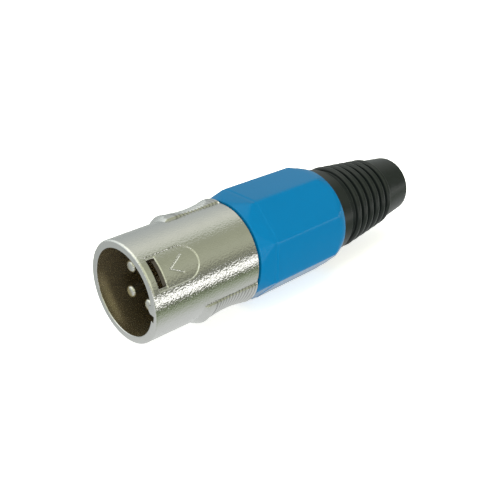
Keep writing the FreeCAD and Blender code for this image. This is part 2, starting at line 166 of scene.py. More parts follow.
class Graph:
    """A node tree that is written as Python calls."""

    def __init__(self, tree: bpy.types.NodeTree) -> None:
        """Take hold of a tree.

        Args:
            tree: The shader or geometry tree that the nodes go into.
        """
        self.tree = tree

    def node(
        self,
        kind: str,
        settings: dict[str, object] | None = None,
        inputs: dict[str | int, object] | None = None,
        output: str | int = 0,
    ) -> Value:
        """Add one node.

        Args:
            kind: The node's type.
            settings: Properties of the node, which are set first.
            inputs: Values or links of its sockets, by name or index.
            output: The socket to give back.

        Returns:
            The chosen output, ready for arithmetic.
        """
        made = self.tree.nodes.new(kind)
        for name, setting in (settings or {}).items():
            setattr(made, name, setting)
        for key, value in (inputs or {}).items():
            self.feed(made.inputs[key], value)
        return Value(self, made.outputs[output])

    def feed(self, socket: bpy.types.NodeSocket, value: object) -> None:
        """Link a socket to a value, or set it.

        Args:
            socket: The input to feed.
            value: Another value, or a plain number, vector or colour.
        """
        if isinstance(value, Value):
            self.tree.links.new(value.socket, socket)
        else:
            socket.default_value = value

    def maths(self, operation: Maths, *terms: "Value | Number") -> Value:
        """Add a Math node.

        Args:
            operation: What it does.
            *terms: One to three terms.

        Returns:
            The result.
        """
        return self.node("ShaderNodeMath", {"operation": operation.value}, dict(enumerate(terms)))

    def sine(self, angle: Value) -> Value:
        """Sine of an angle in radians."""
        return self.maths(Maths.SINE, angle)

    def cosine(self, angle: Value) -> Value:
        """Cosine of an angle in radians."""
        return self.maths(Maths.COSINE, angle)

    def floor(self, value: Value) -> Value:
        """Whole part of a value."""
        return self.maths(Maths.FLOOR, value)

    def ramp(self, factor: Value, low: float, high: float) -> Value:
        """Spread a range of a value over nought to one.

        Args:
            factor: The value to spread.
            low: Where the result is nought.
            high: Where the result is one.

        Returns:
            The result, held between nought and one.
        """
        return self.node(
            "ShaderNodeMapRange",
            {"interpolation_type": "SMOOTHSTEP"},
            {"Value": factor, "From Min": low, "From Max": high},
        )

    def mix(self, factor: Value, first: object, second: object) -> Value:
        """Blend two colours.

        Args:
            factor: Nought for the first colour, one for the second.
            first: A colour, or a link to one.
            second: A colour, or a link to one.

        Returns:
            The blended colour.
        """
        made = self.tree.nodes.new("ShaderNodeMix")
        made.data_type = "RGBA"
        sockets = [s for s in made.inputs if s.enabled]
        for socket, value in zip(sockets, (factor, first, second)):
            self.feed(socket, value)
        return Value(self, next(s for s in made.outputs if s.enabled))


def colour(red: float, green: float, blue: float) -> tuple[float, float, float, float]:
    """Opaque colour from three linear parts."""
    return (red, green, blue, 1.0)


@dataclass(frozen=True)
class Finish:
    """A surface finish: base colour, gloss, and a fine grain at the scale of the real one.

    Sizes and heights are in millimetres. The groove shade's share is how far the base turns to a
    painted shade colour where a piece's "groove" attribute is one: painted shade in the grooves
    between teeth, where less light falls.
    """

    name: str
    base: tuple[float, float, float]
    roughness: float
    metallic: float = 0.0
    roughness_spread: float = 0.05
    tone_spread: float = 0.1
    tone_size: float = 3.0
    tone_detail: float = 3.0
    grain_size: float = 0.2
    grain_detail: float = 2.0
    grain_height: float = 0.004
    grain_strength: float = 0.3
    shine: float = 0.5
    groove_shade_share: float = 0.0
    groove_shade_colour: tuple[float, float, float] = (0.02, 0.02, 0.015)
    groove_shade_falloff: float = 2.0

    def build(self) -> bpy.types.Material:
        """Make the material.

        Returns:
            A material whose tone, gloss and grain follow Object coordinates.
        """
        material = bpy.data.materials.new(self.name)
        material.use_nodes = True
        graph = Graph(material.node_tree)
        shader = material.node_tree.nodes["Principled BSDF"]
        place = graph.node("ShaderNodeTexCoord", output="Object")
        tone = self._noise(graph, place, self.tone_size, self.tone_detail)
        fine = self._noise(graph, place, self.grain_size, self.grain_detail)
        light = [min(1.0, part * (1 + self.tone_spread)) for part in self.base]
        dark = [part * (1 - self.tone_spread) for part in self.base]
        base = graph.mix(tone, colour(*dark), colour(*light))
        # Painted shade: the base turns darker where the "groove" attribute marks the grooves
        # between the teeth.
        if self.groove_shade_share:
            mark = graph.node("ShaderNodeAttribute", {"attribute_name": "groove"}, output="Fac")
            depth = mark**self.groove_shade_falloff * self.groove_shade_share
            base = graph.mix(depth, base, colour(*self.groove_shade_colour))
        graph.feed(shader.inputs["Base Color"], base)
        gloss = self.roughness + (fine - 0.5) * self.roughness_spread
        graph.feed(shader.inputs["Roughness"], gloss)
        shader.inputs["Metallic"].default_value = self.metallic
        shader.inputs["Specular IOR Level"].default_value = self.shine
        relief = {"Strength": self.grain_strength, "Distance": self.grain_height * MM}
        bump = graph.node("ShaderNodeBump", inputs={**relief, "Height": fine})
        graph.feed(shader.inputs["Normal"], bump)
        return material

    @staticmethod
    def _noise(graph: Graph, place: Value, size: float, detail: float) -> Value:
        """Noise that varies over a surface.

        Args:
            graph: The graph to add to.
            place: Where the noise is read.
            size: Size of its patches, in millimetres.
            detail: How many finer octaves it has.

        Returns:
            The noise, round a half.
        """
        return graph.node(
            "ShaderNodeTexNoise",
            inputs={"Vector": place, "Scale": 1.0 / (size * MM), "Detail": detail},
        )


# The nickel takes half of the painted groove shade between the grip's teeth.
NICKEL = Finish(
    "nickel_plate", (0.65, 0.65, 0.64), 0.11, metallic=1.0, roughness_spread=0.08,
    tone_spread=0.04, tone_size=2.5, grain_size=0.34, grain_height=0.06, grain_strength=1.0,
    groove_shade_share=0.5,
)
# Painted shade and painted reflection: a darker brown copy of the nickel for the inside of the
# mouth, standing in for the shade there and the brown insert mirrored in it.
SHADED_MOUTH_PLATE = Finish(
    "mouth_plate_painted_shade", (0.36, 0.3, 0.19), 0.26, metallic=0.88, roughness_spread=0.1,
    tone_spread=0.15, tone_size=2.0, grain_size=0.15, grain_height=0.02, grain_strength=0.3,
)
# Painted shade: a darker copy of the mouth plating for the walls of the window, the slots and the
# spigot's end, standing in for the shade on them.
PAINTED_SHADE_WALL = Finish(
    "painted_shade_wall", (0.13, 0.11, 0.08), 0.3, metallic=0.88, grain_size=0.3, grain_height=0.02,
    grain_strength=0.3,
)
SILVER = Finish(
    "silver_plate", (0.66, 0.66, 0.63), 0.26, metallic=1.0, tone_spread=0.04, grain_size=0.1,
    grain_height=0.01, grain_strength=0.15,
)
BLUE_GLOSS = Finish(
    "blue_gloss", (0.0, 0.116, 0.275), 0.2, roughness_spread=0.04, tone_spread=0.03,
    tone_size=4.0, grain_size=0.5, grain_height=0.01, grain_strength=0.12, shine=0.14,
)
RUBBER = Finish(
    "boot_rubber", (0.006, 0.0086, 0.0084), 0.34, roughness_spread=0.12, tone_spread=0.25,
    tone_size=1.5, grain_size=0.15, grain_height=0.02, grain_strength=0.35, shine=0.36,
)
INSERT_MOULDING = Finish(
    "insert_moulding", (0.15, 0.115, 0.075), 0.5, tone_spread=0.2, tone_size=1.5,
    grain_size=0.2, grain_height=0.015, grain_strength=0.3,
)
CHUCK_MOULDING = Finish(
    "chuck_moulding", (0.04, 0.04, 0.042), 0.4, tone_spread=0.15, tone_size=2.0,
    grain_size=0.2, grain_height=0.015, grain_strength=0.3,
)
TIN = Finish(
    "tin_plate", (0.66, 0.65, 0.61), 0.35, metallic=1.0, tone_spread=0.08, tone_size=0.8,
    grain_size=0.1, grain_height=0.01, grain_strength=0.25,
)


def smooth_step(share: float) -> float:
    """Ease from nought to one."""
    held = min(1.0, max(0.0, share))
    return held * held * (3.0 - 2.0 * held)


def within_half_turn(bearing: float) -> float:
    """Bring a bearing between minus half a turn and half a turn."""
    return (bearing + HALF_TURN) % FULL_TURN - HALF_TURN


def about_axis(x: float, r: float, bearing: float) -> Vector:
    """Place a point.

    Args:
        x: Distance along the axis, in millimetres.
        r: Distance from the axis, in millimetres.
        bearing: Bearing in degrees.

    Returns:
        The point, in metres.
    """
    angle = math.radians(bearing)
    return Vector((x, -r * math.sin(angle), r * math.cos(angle))) * MM


def new_piece(name: str, mesh: bpy.types.Mesh) -> bpy.types.Object:
    """Link a mesh into the scene as an object at the origin.

    Args:
        name: Name of the piece.
        mesh: Its mesh, already in place.

    Returns:
        The object.
    """
    mesh.name = name
    piece = bpy.data.objects.new(name, mesh)
    bpy.context.scene.collection.objects.link(piece)
    return piece


def soften(piece: bpy.types.Object, crease_deg: float = 40.0) -> None:
    """Shade a piece smooth, but keep its creases crisp.

    Args:
        piece: The object to shade.
        crease_deg: Angle between faces above which an edge stays sharp.
    """
    mesh = piece.data
    mesh.polygons.foreach_set("use_smooth", [True] * len(mesh.polygons))
    mesh.set_sharp_from_angle(angle=math.radians(crease_deg))
    weighted = piece.modifiers.new("weighted_normals", "WEIGHTED_NORMAL")
    weighted.keep_sharp = True


def close_skin(mesh: bpy.types.Mesh, gap: float = JOIN_GAP, sliver_share: float = 0.1) -> int:
    """Merge a mesh's doubles and point its faces outwards.

    Args:
        mesh: The mesh to mend.
        gap: Points nearer than this, in millimetres, become one.
        sliver_share: Edges shorter than this share of the gap are dissolved.

    Returns:
        How many edges are left that don't have two faces.
    """
    work = bmesh.new()
    work.from_mesh(mesh)
    bmesh.ops.remove_doubles(work, verts=work.verts, dist=gap * MM)
    bmesh.ops.dissolve_degenerate(work, edges=work.edges, dist=gap * MM * sliver_share)
    bmesh.ops.recalc_face_normals(work, faces=work.faces)
    bare = [edge for edge in work.edges if not edge.link_faces]
    bmesh.ops.delete(work, geom=bare, context="EDGES")
    loose = sum(1 for edge in work.edges if len(edge.link_faces) != 2)
    work.to_mesh(mesh)
    work.free()
    mesh.update()
    return loose


def rounded_line(corners: Sequence[tuple[float, ...]], steps: int = 5) -> list[Point]:
    """Round the corners of a line of (x, r, radius) corners.

    Args:
        corners: The corners, each with the radius that it is rounded to where it has a third value.
        steps: Points on each rounding, less one.

    Returns:
        The points of the rounded line.
    """
    line: list[Point] = []
    for index, corner in enumerate(corners):
        here = Vector(corner[:2])
        radius = corner[2] if len(corner) > 2 else 0.0
        if radius <= 0 or index in (0, len(corners) - 1):
            line.append((here.x, here.y))
            continue
        back = (Vector(corners[index - 1][:2]) - here).normalized()
        ahead = (Vector(corners[index + 1][:2]) - here).normalized()
        half = back.angle(ahead) / 2
        centre = here + (back + ahead).normalized() * (radius / math.sin(half))
        start = here + back * (radius / math.tan(half)) - centre
        end = here + ahead * (radius / math.tan(half)) - centre
        swing = start.angle_signed(end)
        for step in range(steps + 1):
            turned = Matrix.Rotation(-swing * step / steps, 2) @ start
            line.append((centre.x + turned.x, centre.y + turned.y))
    return line


class LatheTree:
    """Geometry tree that turns a profile about the X axis and can mill equal flats on it."""

    # Distance of the flats of a piece that has none, in millimetres: far outside the piece
    NO_FLAT = 10000.0

    def __init__(self, material: bpy.types.Material) -> None:
        """Build the tree.

        Args:
            material: What its faces are made of.
        """
        self.tree = bpy.data.node_groups.new("lathe", "GeometryNodeTree")
        face = self.tree.interface
        face.new_socket("Profile", in_out="INPUT", socket_type="NodeSocketGeometry")
        self.sockets = {
            "Segments": face.new_socket("Segments", in_out="INPUT", socket_type="NodeSocketInt"),
            "Flats": face.new_socket("Flats", in_out="INPUT", socket_type="NodeSocketInt"),
            "Edge": face.new_socket("Edge", in_out="INPUT", socket_type="NodeSocketFloat"),
        }
        face.new_socket("Turned", in_out="OUTPUT", socket_type="NodeSocketGeometry")
        self._wire(Graph(self.tree), material)

    def _wire(self, graph: Graph, material: bpy.types.Material) -> None:
        """Lay out the nodes: a grid whose rows follow the profile and whose columns go round.

        Args:
            graph: The tree's graph.
            material: What the faces are made of.
        """
        given = self.tree.nodes.new("NodeGroupInput")
        profile, segments, flats, edge = (Value(graph, given.outputs[i]) for i in range(4))
        whole = {"Geometry": profile}
        rows = graph.node("GeometryNodeAttributeDomainSize", {"component": "MESH"}, whole)
        columns = segments + 1
        counts = {"Vertices X": rows, "Vertices Y": columns}
        grid = graph.node("GeometryNodeMeshGrid", inputs=counts)
        index = graph.node("GeometryNodeInputIndex")
        row = graph.floor((index + 0.5) / columns)
        column = index - row * columns
        spot = graph.node("GeometryNodeInputPosition")
        number_kind = {"data_type": "FLOAT"}
        flat = graph.node("GeometryNodeInputNamedAttribute", number_kind, {"Name": "flat"})
        spot = self._at_row(graph, profile, "FLOAT_VECTOR", spot, row)
        apothem = self._at_row(graph, profile, "FLOAT", flat, row)
        parts = graph.tree.nodes.new("ShaderNodeSeparateXYZ")
        graph.feed(parts.inputs[0], spot)
        along = Value(graph, parts.outputs["X"])
        radius = Value(graph, parts.outputs["Z"])
        sector = 2 * math.pi / flats
        side = column / segments * flats
        number = graph.floor(side)
        across = (side - number) * 2 - 1
        # An odd cubic crowds the columns towards the flats' edges
        lean = sector / 2 * (across * 1.5 - across * across * across * 0.5)
        bearing = number * sector + lean
        milled = graph.maths(Maths.SMOOTH_MIN, radius, apothem / graph.cosine(lean), edge)
        height = milled * graph.cosine(bearing)
        breadth = -(milled * graph.sine(bearing))
        ways = {"X": along, "Y": breadth, "Z": height}
        place = graph.node("ShaderNodeCombineXYZ", inputs=ways)
        shaped = {"Geometry": grid, "Position": place}
        turned = graph.node("GeometryNodeSetPosition", inputs=shaped)
        near = {"Geometry": turned, "Distance": JOIN_GAP * MM}
        joined = graph.node("GeometryNodeMergeByDistance", inputs=near)
        real = graph.node("GeometryNodeRealizeInstances", inputs={"Geometry": joined})
        finish = {"Geometry": real, "Material": material}
        dressed = graph.node("GeometryNodeSetMaterial", inputs=finish)
        graph.feed(self.tree.nodes.new("NodeGroupOutput").inputs[0], dressed)

    @staticmethod
    def _at_row(graph: Graph, profile: Value, kind: str, value: Value, row: Value) -> Value:
        """Read a value from the profile's point of the same row.

        Args:
            graph: The tree's graph.
            profile: The profile's geometry.
            kind: Type of the value.
            value: What is read.
            row: The row's number.

        Returns:
            The value there.
        """
        return graph.node(
            "GeometryNodeSampleIndex",
            {"data_type": kind, "domain": "POINT"},
            {"Geometry": profile, "Value": value, "Index": row},
        )

    def turn(
        self,
        name: str,
        profile: Sequence[Point],
        segments: int,
        flats: int = 8,
        apothem: Callable[[float, float], float] | None = None,
        edge: float = 0.0,
    ) -> bpy.types.Object:
        """Turn a profile into a piece.

        Args:
            name: Name of the piece.
            profile: Points (x, r) in millimetres.
            segments: Columns round the axis.
            flats: How many flats are milled.
            apothem: Distance of the flats from the axis at (x, r), or None for a round piece.
            edge: How softly a flat runs into the turned surface, in millimetres.

        Returns:
            The piece, as a plain mesh.
        """
        mesh = bpy.data.meshes.new(name)
        mesh.from_pydata([Vector((x, 0, r)) * MM for x, r in profile], [], [])
        flat = mesh.attributes.new("flat", "FLOAT", "POINT")
        reach = [apothem(x, r) * MM if apothem else self.NO_FLAT * MM for x, r in profile]
        flat.data.foreach_set("value", reach)
        source = new_piece(name + "_profile", mesh)
        modifier = source.modifiers.new("lathe", "NODES")
        modifier.node_group = self.tree
        modifier[self.sockets["Segments"].identifier] = segments
        modifier[self.sockets["Flats"].identifier] = flats
        modifier[self.sockets["Edge"].identifier] = edge * MM
        depsgraph = bpy.context.evaluated_depsgraph_get()
        turned = bpy.data.meshes.new_from_object(source.evaluated_get(depsgraph))
        bpy.data.objects.remove(source)
        loose = close_skin(turned)
        if loose:
            LOG.warning("%s has %d open edges", name, loose)
        return new_piece(name, turned)


@dataclass
class FlatSkin:
    """A round skin laid out flat: x along the axis, s round it, both in millimetres."""

    start: float
    end: float
    wrap_r: float
    columns: int
    end_gap: float = 0.2
    points: list[Point] = field(default_factory=list)
    edges: list[tuple[int, int]] = field(default_factory=list)

    @property
    def half(self) -> float:
        """Half of the way round."""
        return math.pi * self.wrap_r

    def s_at(self, bearing: float) -> float:
        """Place of a bearing, which counts from the latch."""
        return math.radians(bearing) * self.wrap_r

    def bearing_at(self, s: float) -> float:
        """Bearing from the latch of a place."""
        return math.degrees(s / self.wrap_r)

    def line(self, points: Iterable[Point], closed: bool = False) -> None:
        """Add a line that the mesh follows.

        Args:
            points: Its (x, s) points.
            closed: True where the last point joins the first.
        """
        first = len(self.points)
        self.points.extend(points)
        count = len(self.points) - first
        self.edges.extend((first + i, first + i + 1) for i in range(count - 1))
        if closed:
            self.edges.append((first + count - 1, first))

    def ring(self, x: float) -> None:
        """Add a line right round the skin at x."""
        self.across(x, -self.half, self.half)

    def across(self, x: float, low: float, high: float) -> None:
        """Add a line round part of the skin at x, with a point in every column.

        Args:
            x: Distance along the axis.
            low: Where the line starts.
            high: Where it ends.
        """
        pitch = 2 * self.half / self.columns
        first = math.ceil(low / pitch + self.end_gap)
        last = math.floor(high / pitch - self.end_gap)
        between = [(x, column * pitch) for column in range(first, last + 1)]
        self.line([(x, low), *between, (x, high)])

    def cover(self, x_step: float, clear: Callable[[float, float], bool]) -> None:
        """Spread points evenly between the lines.

        Args:
            x_step: Distance between rows.
            clear: Tells whether (x, s) is free to take a point.
        """
        rows = max(1, round((self.end - self.start) / x_step))
        for column in range(self.columns + 1):
            s = -self.half + 2 * self.half * column / self.columns
            for row in range(rows + 1):
                x = self.start + (self.end - self.start) * row / rows
                on_border = row in (0, rows) or column in (0, self.columns)
                if on_border or clear(x, s):
                    self.points.append((x, s))

    def mesh(self, radius: Radius, holes: Callable[[float, float], bool]) -> "Sheet":
        """Triangulate the skin and lift it to its radius.

        Args:
            radius: Radius at (x, bearing from the latch).
            holes: Tells whether (x, s) lies in an opening.

        Returns:
            The lifted sheet.
        """
        low_side = [(self.start, -self.half), (self.end, -self.half)]
        high_side = [(self.end, self.half), (self.start, self.half)]
        self.line(low_side + high_side, closed=True)
        flat = [Vector(point) for point in self.points]
        spots, _, faces, _, _, _ = delaunay_2d_cdt(flat, self.edges, [], 0, SAME_PLACE / 10)
        kept = []
        for face in faces:
            middle = sum((spots[i] for i in face), Vector((0.0, 0.0))) / len(face)
            inside = self.start < middle.x < self.end and abs(middle.y) < self.half
            if inside and not holes(middle.x, middle.y):
                kept.append(tuple(face))
        lifted = []
        for spot in spots:
            bearing = self.bearing_at(spot.y)
            lifted.append(about_axis(spot.x, radius(spot.x, bearing), LATCH_BEARING + bearing))
        return Sheet([(spot.x, spot.y) for spot in spots], lifted, kept)


@dataclass
class Sheet:
    """A lifted skin: its flat places, its points and its triangles."""

    flat: list[Point]
    points: list[Vector]
    faces: list[tuple[int, ...]]

    def border(self, along: Along, shift: int = 0) -> list[tuple[float, int]]:
        """Points of the sheet's open edges that lie on an outline, in order.

        Args:
            along: Distance along the outline at (x, s), or None off it.
            shift: Number of the sheet's first point in the whole piece.

        Returns:
            The distance along the outline and the number of each point.
        """
        seen: dict[tuple[int, int], int] = {}
        for face in self.faces:
            for a, b in zip(face, face[1:] + face[:1]):
                key = (min(a, b), max(a, b))
                seen[key] = seen.get(key, 0) + 1
        open_points = {i for key, count in seen.items() if count == 1 for i in key}
        placed = [(along(*self.flat[i]), i + shift) for i in open_points]
        return sorted((where, i) for where, i in placed if where is not None)


def zip_sheets(
    first: Sequence[tuple[float, int]], second: Sequence[tuple[float, int]], closed: bool
) -> list[Triangle]:
    """Bridge two borders with triangles.

    Args:
        first: (distance along the border, point) of one border, in order.
        second: The same for the other border.
        closed: True where both borders come back to their start.

    Returns:
        The triangles.
    """
    one, two = list(first), list(second)
    if closed:
        one.append((math.inf, one[0][1]))
        two.append((math.inf, two[0][1]))
    faces = []
    i = j = 0
    while i < len(one) - 1 or j < len(two) - 1:
        step_one = j == len(two) - 1 or (i < len(one) - 1 and one[i + 1][0] <= two[j + 1][0])
        if step_one:
            faces.append((one[i][1], one[i + 1][1], two[j][1]))
            i += 1
        else:
            faces.append((one[i][1], two[j + 1][1], two[j][1]))
            j += 1
    return faces


@dataclass
class Grip:
    """A thumb grip: a ramp to a peak, then a hollow cut across by fine teeth.

    The steps are the mesh's own lines: along the ramp from its foot, about the peak, and up
    the grip's side walls as shares of their width.
    """

    foot: float = 10.7
    peak: float = 12.2
    peak_r: float = 10.42
    saddle: float = 17.5
    saddle_r: float = 9.85
    span_deg: float = 62.0
    crown_r: float = 7.45
    end: float = 23.2
    tooth_pitch: float = 0.75
    tooth_depth: float = 0.22
    teeth: int = 13
    wall: float = 0.22
    ramp_steps: tuple[float, ...] = (0.0, 0.5, 1.0)
    peak_steps: tuple[float, ...] = (-0.12, 0.0, 0.12, 0.6)
    wall_steps: tuple[float, ...] = (0.0, 0.25, 0.5, 0.75, 1.0)
    front_margin: float = 0.1
    side_margin: float = 0.02

    @property
    def first_tooth(self) -> float:
        """Where the first groove lies."""
        return self.end - self.teeth * self.tooth_pitch

    @property
    def half_span(self) -> float:
        """Half of the grip's width, as an angle in radians."""
        return math.radians(self.span_deg / 2)

    def between_crests(self, x: float) -> float:
        """Nought on the crest of a tooth, and one in a groove."""
        phase = ((x - self.first_tooth) / self.tooth_pitch) % 1.0
        return abs(2 * phase - 1)

    def hollow(self, x: float) -> float:
        """Radius of the hollow at x, before the teeth.

        Args:
            x: Distance along the axis.

        Returns:
            The radius of an arc that runs through the peak, with its lowest place at the saddle.
        """
        chord = self.saddle - self.peak
        rise = self.peak_r - self.saddle_r
        arc = (chord**2 + rise**2) / (2 * rise)
        return self.saddle_r + arc - math.sqrt(arc**2 - (x - self.saddle) ** 2)

    def top(self, x: float, barrel_r: float) -> float:
        """Radius of the grip's top, along its middle.

        Args:
            x: Distance along the axis.
            barrel_r: Radius of the barrel.

        Returns:
            The radius in millimetres.
        """
        if x <= self.foot:
            return barrel_r
        if x <= self.peak:
            share = (x - self.foot) / (self.peak - self.foot)
            return barrel_r + (self.peak_r - barrel_r) * share
        first = self.first_tooth
        if x < first:
            low = self.hollow(first) - self.tooth_depth
            return self.peak_r + (low - self.peak_r) * (x - self.peak) / (first - self.peak)
        return self.hollow(x) - self.tooth_depth * self.between_crests(x)

    def crown(self, lean: float) -> float:
        """Radius of the rounding across the grip's top, at an angle from its middle."""
        offset = self.peak_r - self.crown_r
        return offset * math.cos(lean) + math.sqrt(self.crown_r**2 - (offset * math.sin(lean)) ** 2)

    def rise(self, x: float, lean: float, barrel_r: float) -> float:
        """Height of the grip over the barrel.

        Args:
            x: Distance along the axis.
            lean: Angle from the grip's middle, in radians.
            barrel_r: Radius of the barrel.

        Returns:
            The height in millimetres.
        """
        inside = (self.half_span - abs(lean)) * barrel_r
        height = min(self.top(x, barrel_r), self.crown(lean)) - barrel_r
        return height * smooth_step(inside / self.wall)

    def draw(self, skin: FlatSkin, centre: float) -> None:
        """Lay the grip's walls and teeth into the skin.

        Args:
            skin: The flat skin of the barrel.
            centre: Bearing of the grip from the latch.
        """
        middle = skin.s_at(centre)
        side = self.half_span * skin.wrap_r
        stations = [self.foot + step for step in self.ramp_steps]
        stations += [self.peak + step for step in self.peak_steps]
        for tooth in range(self.teeth):
            groove = self.first_tooth + tooth * self.tooth_pitch
            stations += [groove, groove + self.tooth_pitch / 2]
        stations = [x for x in stations if x < self.end - EndRound.radius]
        for share in self.wall_steps:
            for sign in (1, -1):
                s = middle + sign * (side - self.wall * share)
                skin.line([(x, s) for x in stations])
        for x in stations:
            skin.across(x, middle - side, middle + side)

    def groove(self, x: float, lean: float) -> float:
        """How deep between the teeth a place lies.

        Args:
            x: Distance along the axis.
            lean: Angle from the grip's middle, in radians.

        Returns:
            Nought on a crest and off the teeth, and one in a groove.
        """
        on_teeth = self.first_tooth <= x < self.end and abs(lean) <= self.half_span
        return self.between_crests(x) if on_teeth else 0.0

    def covers(self, x: float, lean: float) -> bool:
        """True where the grip's own lines carry the skin."""
        return x > self.foot - self.front_margin and abs(lean) < self.half_span + self.side_margin


@dataclass
class EndRound:
    """Small rounding where the barrel stops."""

    radius: float = 0.14

    @classmethod
    def drop(cls, left: float) -> float:
        """How much lower the surface lies near the end.

        Args:
            left: Distance that is left to the end.

        Returns:
            The depth in millimetres.
        """
        if left >= cls.radius:
            return 0.0
        return cls.radius - math.sqrt(max(0.0, cls.radius**2 - (cls.radius - max(left, 0.0)) ** 2))


@dataclass
class LatchPlate:
    """D-shaped recess with the latch window and an engraved direction mark.

    The steps are the mesh's own lines, as shares of a wall, a lip or the half width of a
    stroke, and the margins are how far other points stay from those lines.
    """

    front: float = 1.35
    half_width: float = 3.25
    round_centre: float = 7.65
    depth: float = 0.18
    wall: float = 0.24
    window_front: float = 1.56
    window_back: float = 3.16
    window_half_deg: float = 16.15
    lip: float = 0.06
    back_lip: float = 0.26
    mark_depth: float = 0.11
    mark_half: float = 0.19
    mark: tuple[Point, ...] = ((8.0, -1.58), (4.8, 0.25), (7.06, 1.55))
    reach_deg: float = 60.0
    deepest_lip_share: float = 0.9
    wall_steps: tuple[float, ...] = (0.0, 0.25, 0.5, 0.75, 1.0)
    lip_steps: tuple[float, ...] = (0.0, 0.2, 0.5, 1.0)
    back_lip_steps: tuple[float, ...] = (0.4, 0.7, 1.0)
    stroke_steps: tuple[float, ...] = (-1.0, -0.5, 0.0, 0.5, 1.0)
    round_steps: int = 36
    front_steps: int = 16
    window_step: float = 0.4
    outer_margin: float = 0.12
    inner_margin: float = 0.27
    mark_margin: float = 0.25
    reach_s: float = 6.0

    def half_window(self, r: float) -> float:
        """Half of the window's way round on a skin of a radius."""
        return math.radians(self.window_half_deg) * r

    def inside(self, x: float, v: float) -> float:
        """Distance inside the D's outline at x and a way across v."""
        if x > self.round_centre:
            return self.half_width - math.hypot(x - self.round_centre, v)
        return min(x - self.front, self.half_width - abs(v))

    def from_mark(self, x: float, v: float) -> float:
        """Distance from the nearest stroke of the direction mark.

        Args:
            x: Distance along the axis.
            v: Distance across, square to the latch's bearing.

        Returns:
            The distance in millimetres.
        """
        here = Vector((x, v))
        best = math.inf
        for a, b in zip(self.mark, self.mark[1:]):
            start, end = Vector(a), Vector(b)
            share = (here - start).dot(end - start) / (end - start).length_squared
            best = min(best, (here - start.lerp(end, min(1.0, max(0.0, share)))).length)
        return best

    def outside_window(self, x: float, bearing: float, r: float) -> float:
        """Distance outside the window's outline.

        Args:
            x: Distance along the axis.
            bearing: Bearing from the latch.
            r: Radius that the way round is measured on.

        Returns:
            The distance in millimetres, and nought inside.
        """
        over_x = max(self.window_front - x, x - self.window_back, 0.0)
        over_s = max(math.radians(abs(bearing) - self.window_half_deg) * r, 0.0)
        return math.hypot(over_x, over_s)

    def drop(self, x: float, bearing: float, r: float) -> float:
        """How far the plate lies below the barrel.

        Args:
            x: Distance along the axis.
            bearing: Bearing from the latch.
            r: Radius of the barrel.

        Returns:
            The depth in millimetres.
        """
        if abs(bearing) > self.reach_deg:
            return 0.0
        v = r * math.sin(math.radians(bearing))
        low = self.depth * smooth_step(self.inside(x, v) / self.wall)
        stroke = self.from_mark(x, v)
        if stroke < self.mark_half:
            low += self.mark_depth * (1 - (stroke / self.mark_half) ** 2)
        away = self.outside_window(x, bearing, r)
        lip = self.back_lip if x > self.window_back else self.lip
        if away < lip:
            share = min(1 - away / lip, self.deepest_lip_share)
            low += lip * (1 - math.sqrt(1 - share**2))
        return low

    def window(self, grow: float, r: float) -> list[Point]:
        """Corners of the window's outline on the flat skin.

        Args:
            grow: How far the outline is moved outwards.
            r: Radius that the skin is wrapped on.

        Returns:
            Points (x, s) all round, evenly spaced along each side.
        """
        s_end = self.half_window(r) + grow
        x_low, x_high = self.window_front - grow, self.window_back + grow
        corners = [(x_low, -s_end), (x_high, -s_end), (x_high, s_end), (x_low, s_end)]
        points: list[Point] = []
        for a, b in zip(corners, corners[1:] + corners[:1]):
            steps = max(1, round(math.dist(a, b) / self.window_step))
            for i in range(steps):
                points.append((a[0] + (b[0] - a[0]) * i / steps, a[1] + (b[1] - a[1]) * i / steps))
        return points

    def in_window(self, x: float, s: float, r: float) -> bool:
        """True inside the window."""
        return self.window_front < x < self.window_back and abs(s) < self.half_window(r)

    def along_window(self, x: float, s: float, r: float) -> float | None:
        """Distance along the window's outline.

        Args:
            x: Distance along the axis.
            s: Way round on the flat skin.
            r: Radius that the skin is wrapped on.

        Returns:
            The distance in millimetres, or None off the outline.
        """
        near = SAME_PLACE
        s_end = self.half_window(r)
        width, length = 2 * s_end, self.window_back - self.window_front
        if not (self.window_front - near < x < self.window_back + near and abs(s) < s_end + near):
            return None
        if abs(s + s_end) < near:
            return x - self.window_front
        if abs(x - self.window_back) < near:
            return length + s + s_end
        if abs(s - s_end) < near:
            return length + width + self.window_back - x
        if abs(x - self.window_front) < near:
            return 2 * length + width + s_end - s
        return None

    def draw(self, skin: FlatSkin) -> None:
        """Lay the plate's outline, window and mark into the skin.

        Args:
            skin: The flat skin of the barrel.
        """
        r = skin.wrap_r
        for share in self.wall_steps:
            outline = self.outline(self.wall * share)
            skin.line([(x, r * math.asin(v / r)) for x, v in outline], closed=True)
        for share in self.lip_steps:
            skin.line(self.window(self.lip * share, r), closed=True)
        side = self.half_window(r)
        for share in self.back_lip_steps:
            skin.across(self.window_back + self.back_lip * share, -side, side)
        for shift in self.stroke_steps:
            for a, b in zip(self.mark, self.mark[1:]):
                start, end = Vector(a), Vector(b)
                across = (end - start).orthogonal().normalized() * shift * self.mark_half
                stroke = [start + across, start.lerp(end, 0.5) + across, end + across]
                skin.line([(p.x, r * math.asin(p.y / r)) for p in stroke])

    def outline(self, inset: float) -> list[Point]:
        """Outline of the D.

        Args:
            inset: How far inside the plate's edge it runs.

        Returns:
            Points (x, v) all round.
        """
        front, side = self.front + inset, self.half_width - inset
        line = [(front, -side), (self.round_centre, -side)]
        for step in range(1, self.round_steps):
            turn = math.radians(HALF_TURN * step / self.round_steps - HALF_TURN / 2)
            line.append((self.round_centre + side * math.cos(turn), side * math.sin(turn)))
        line += [(self.round_centre, side), (front, side)]
        rows = self.front_steps
        return line + [(front, side - 2 * side * i / rows) for i in range(1, rows)]

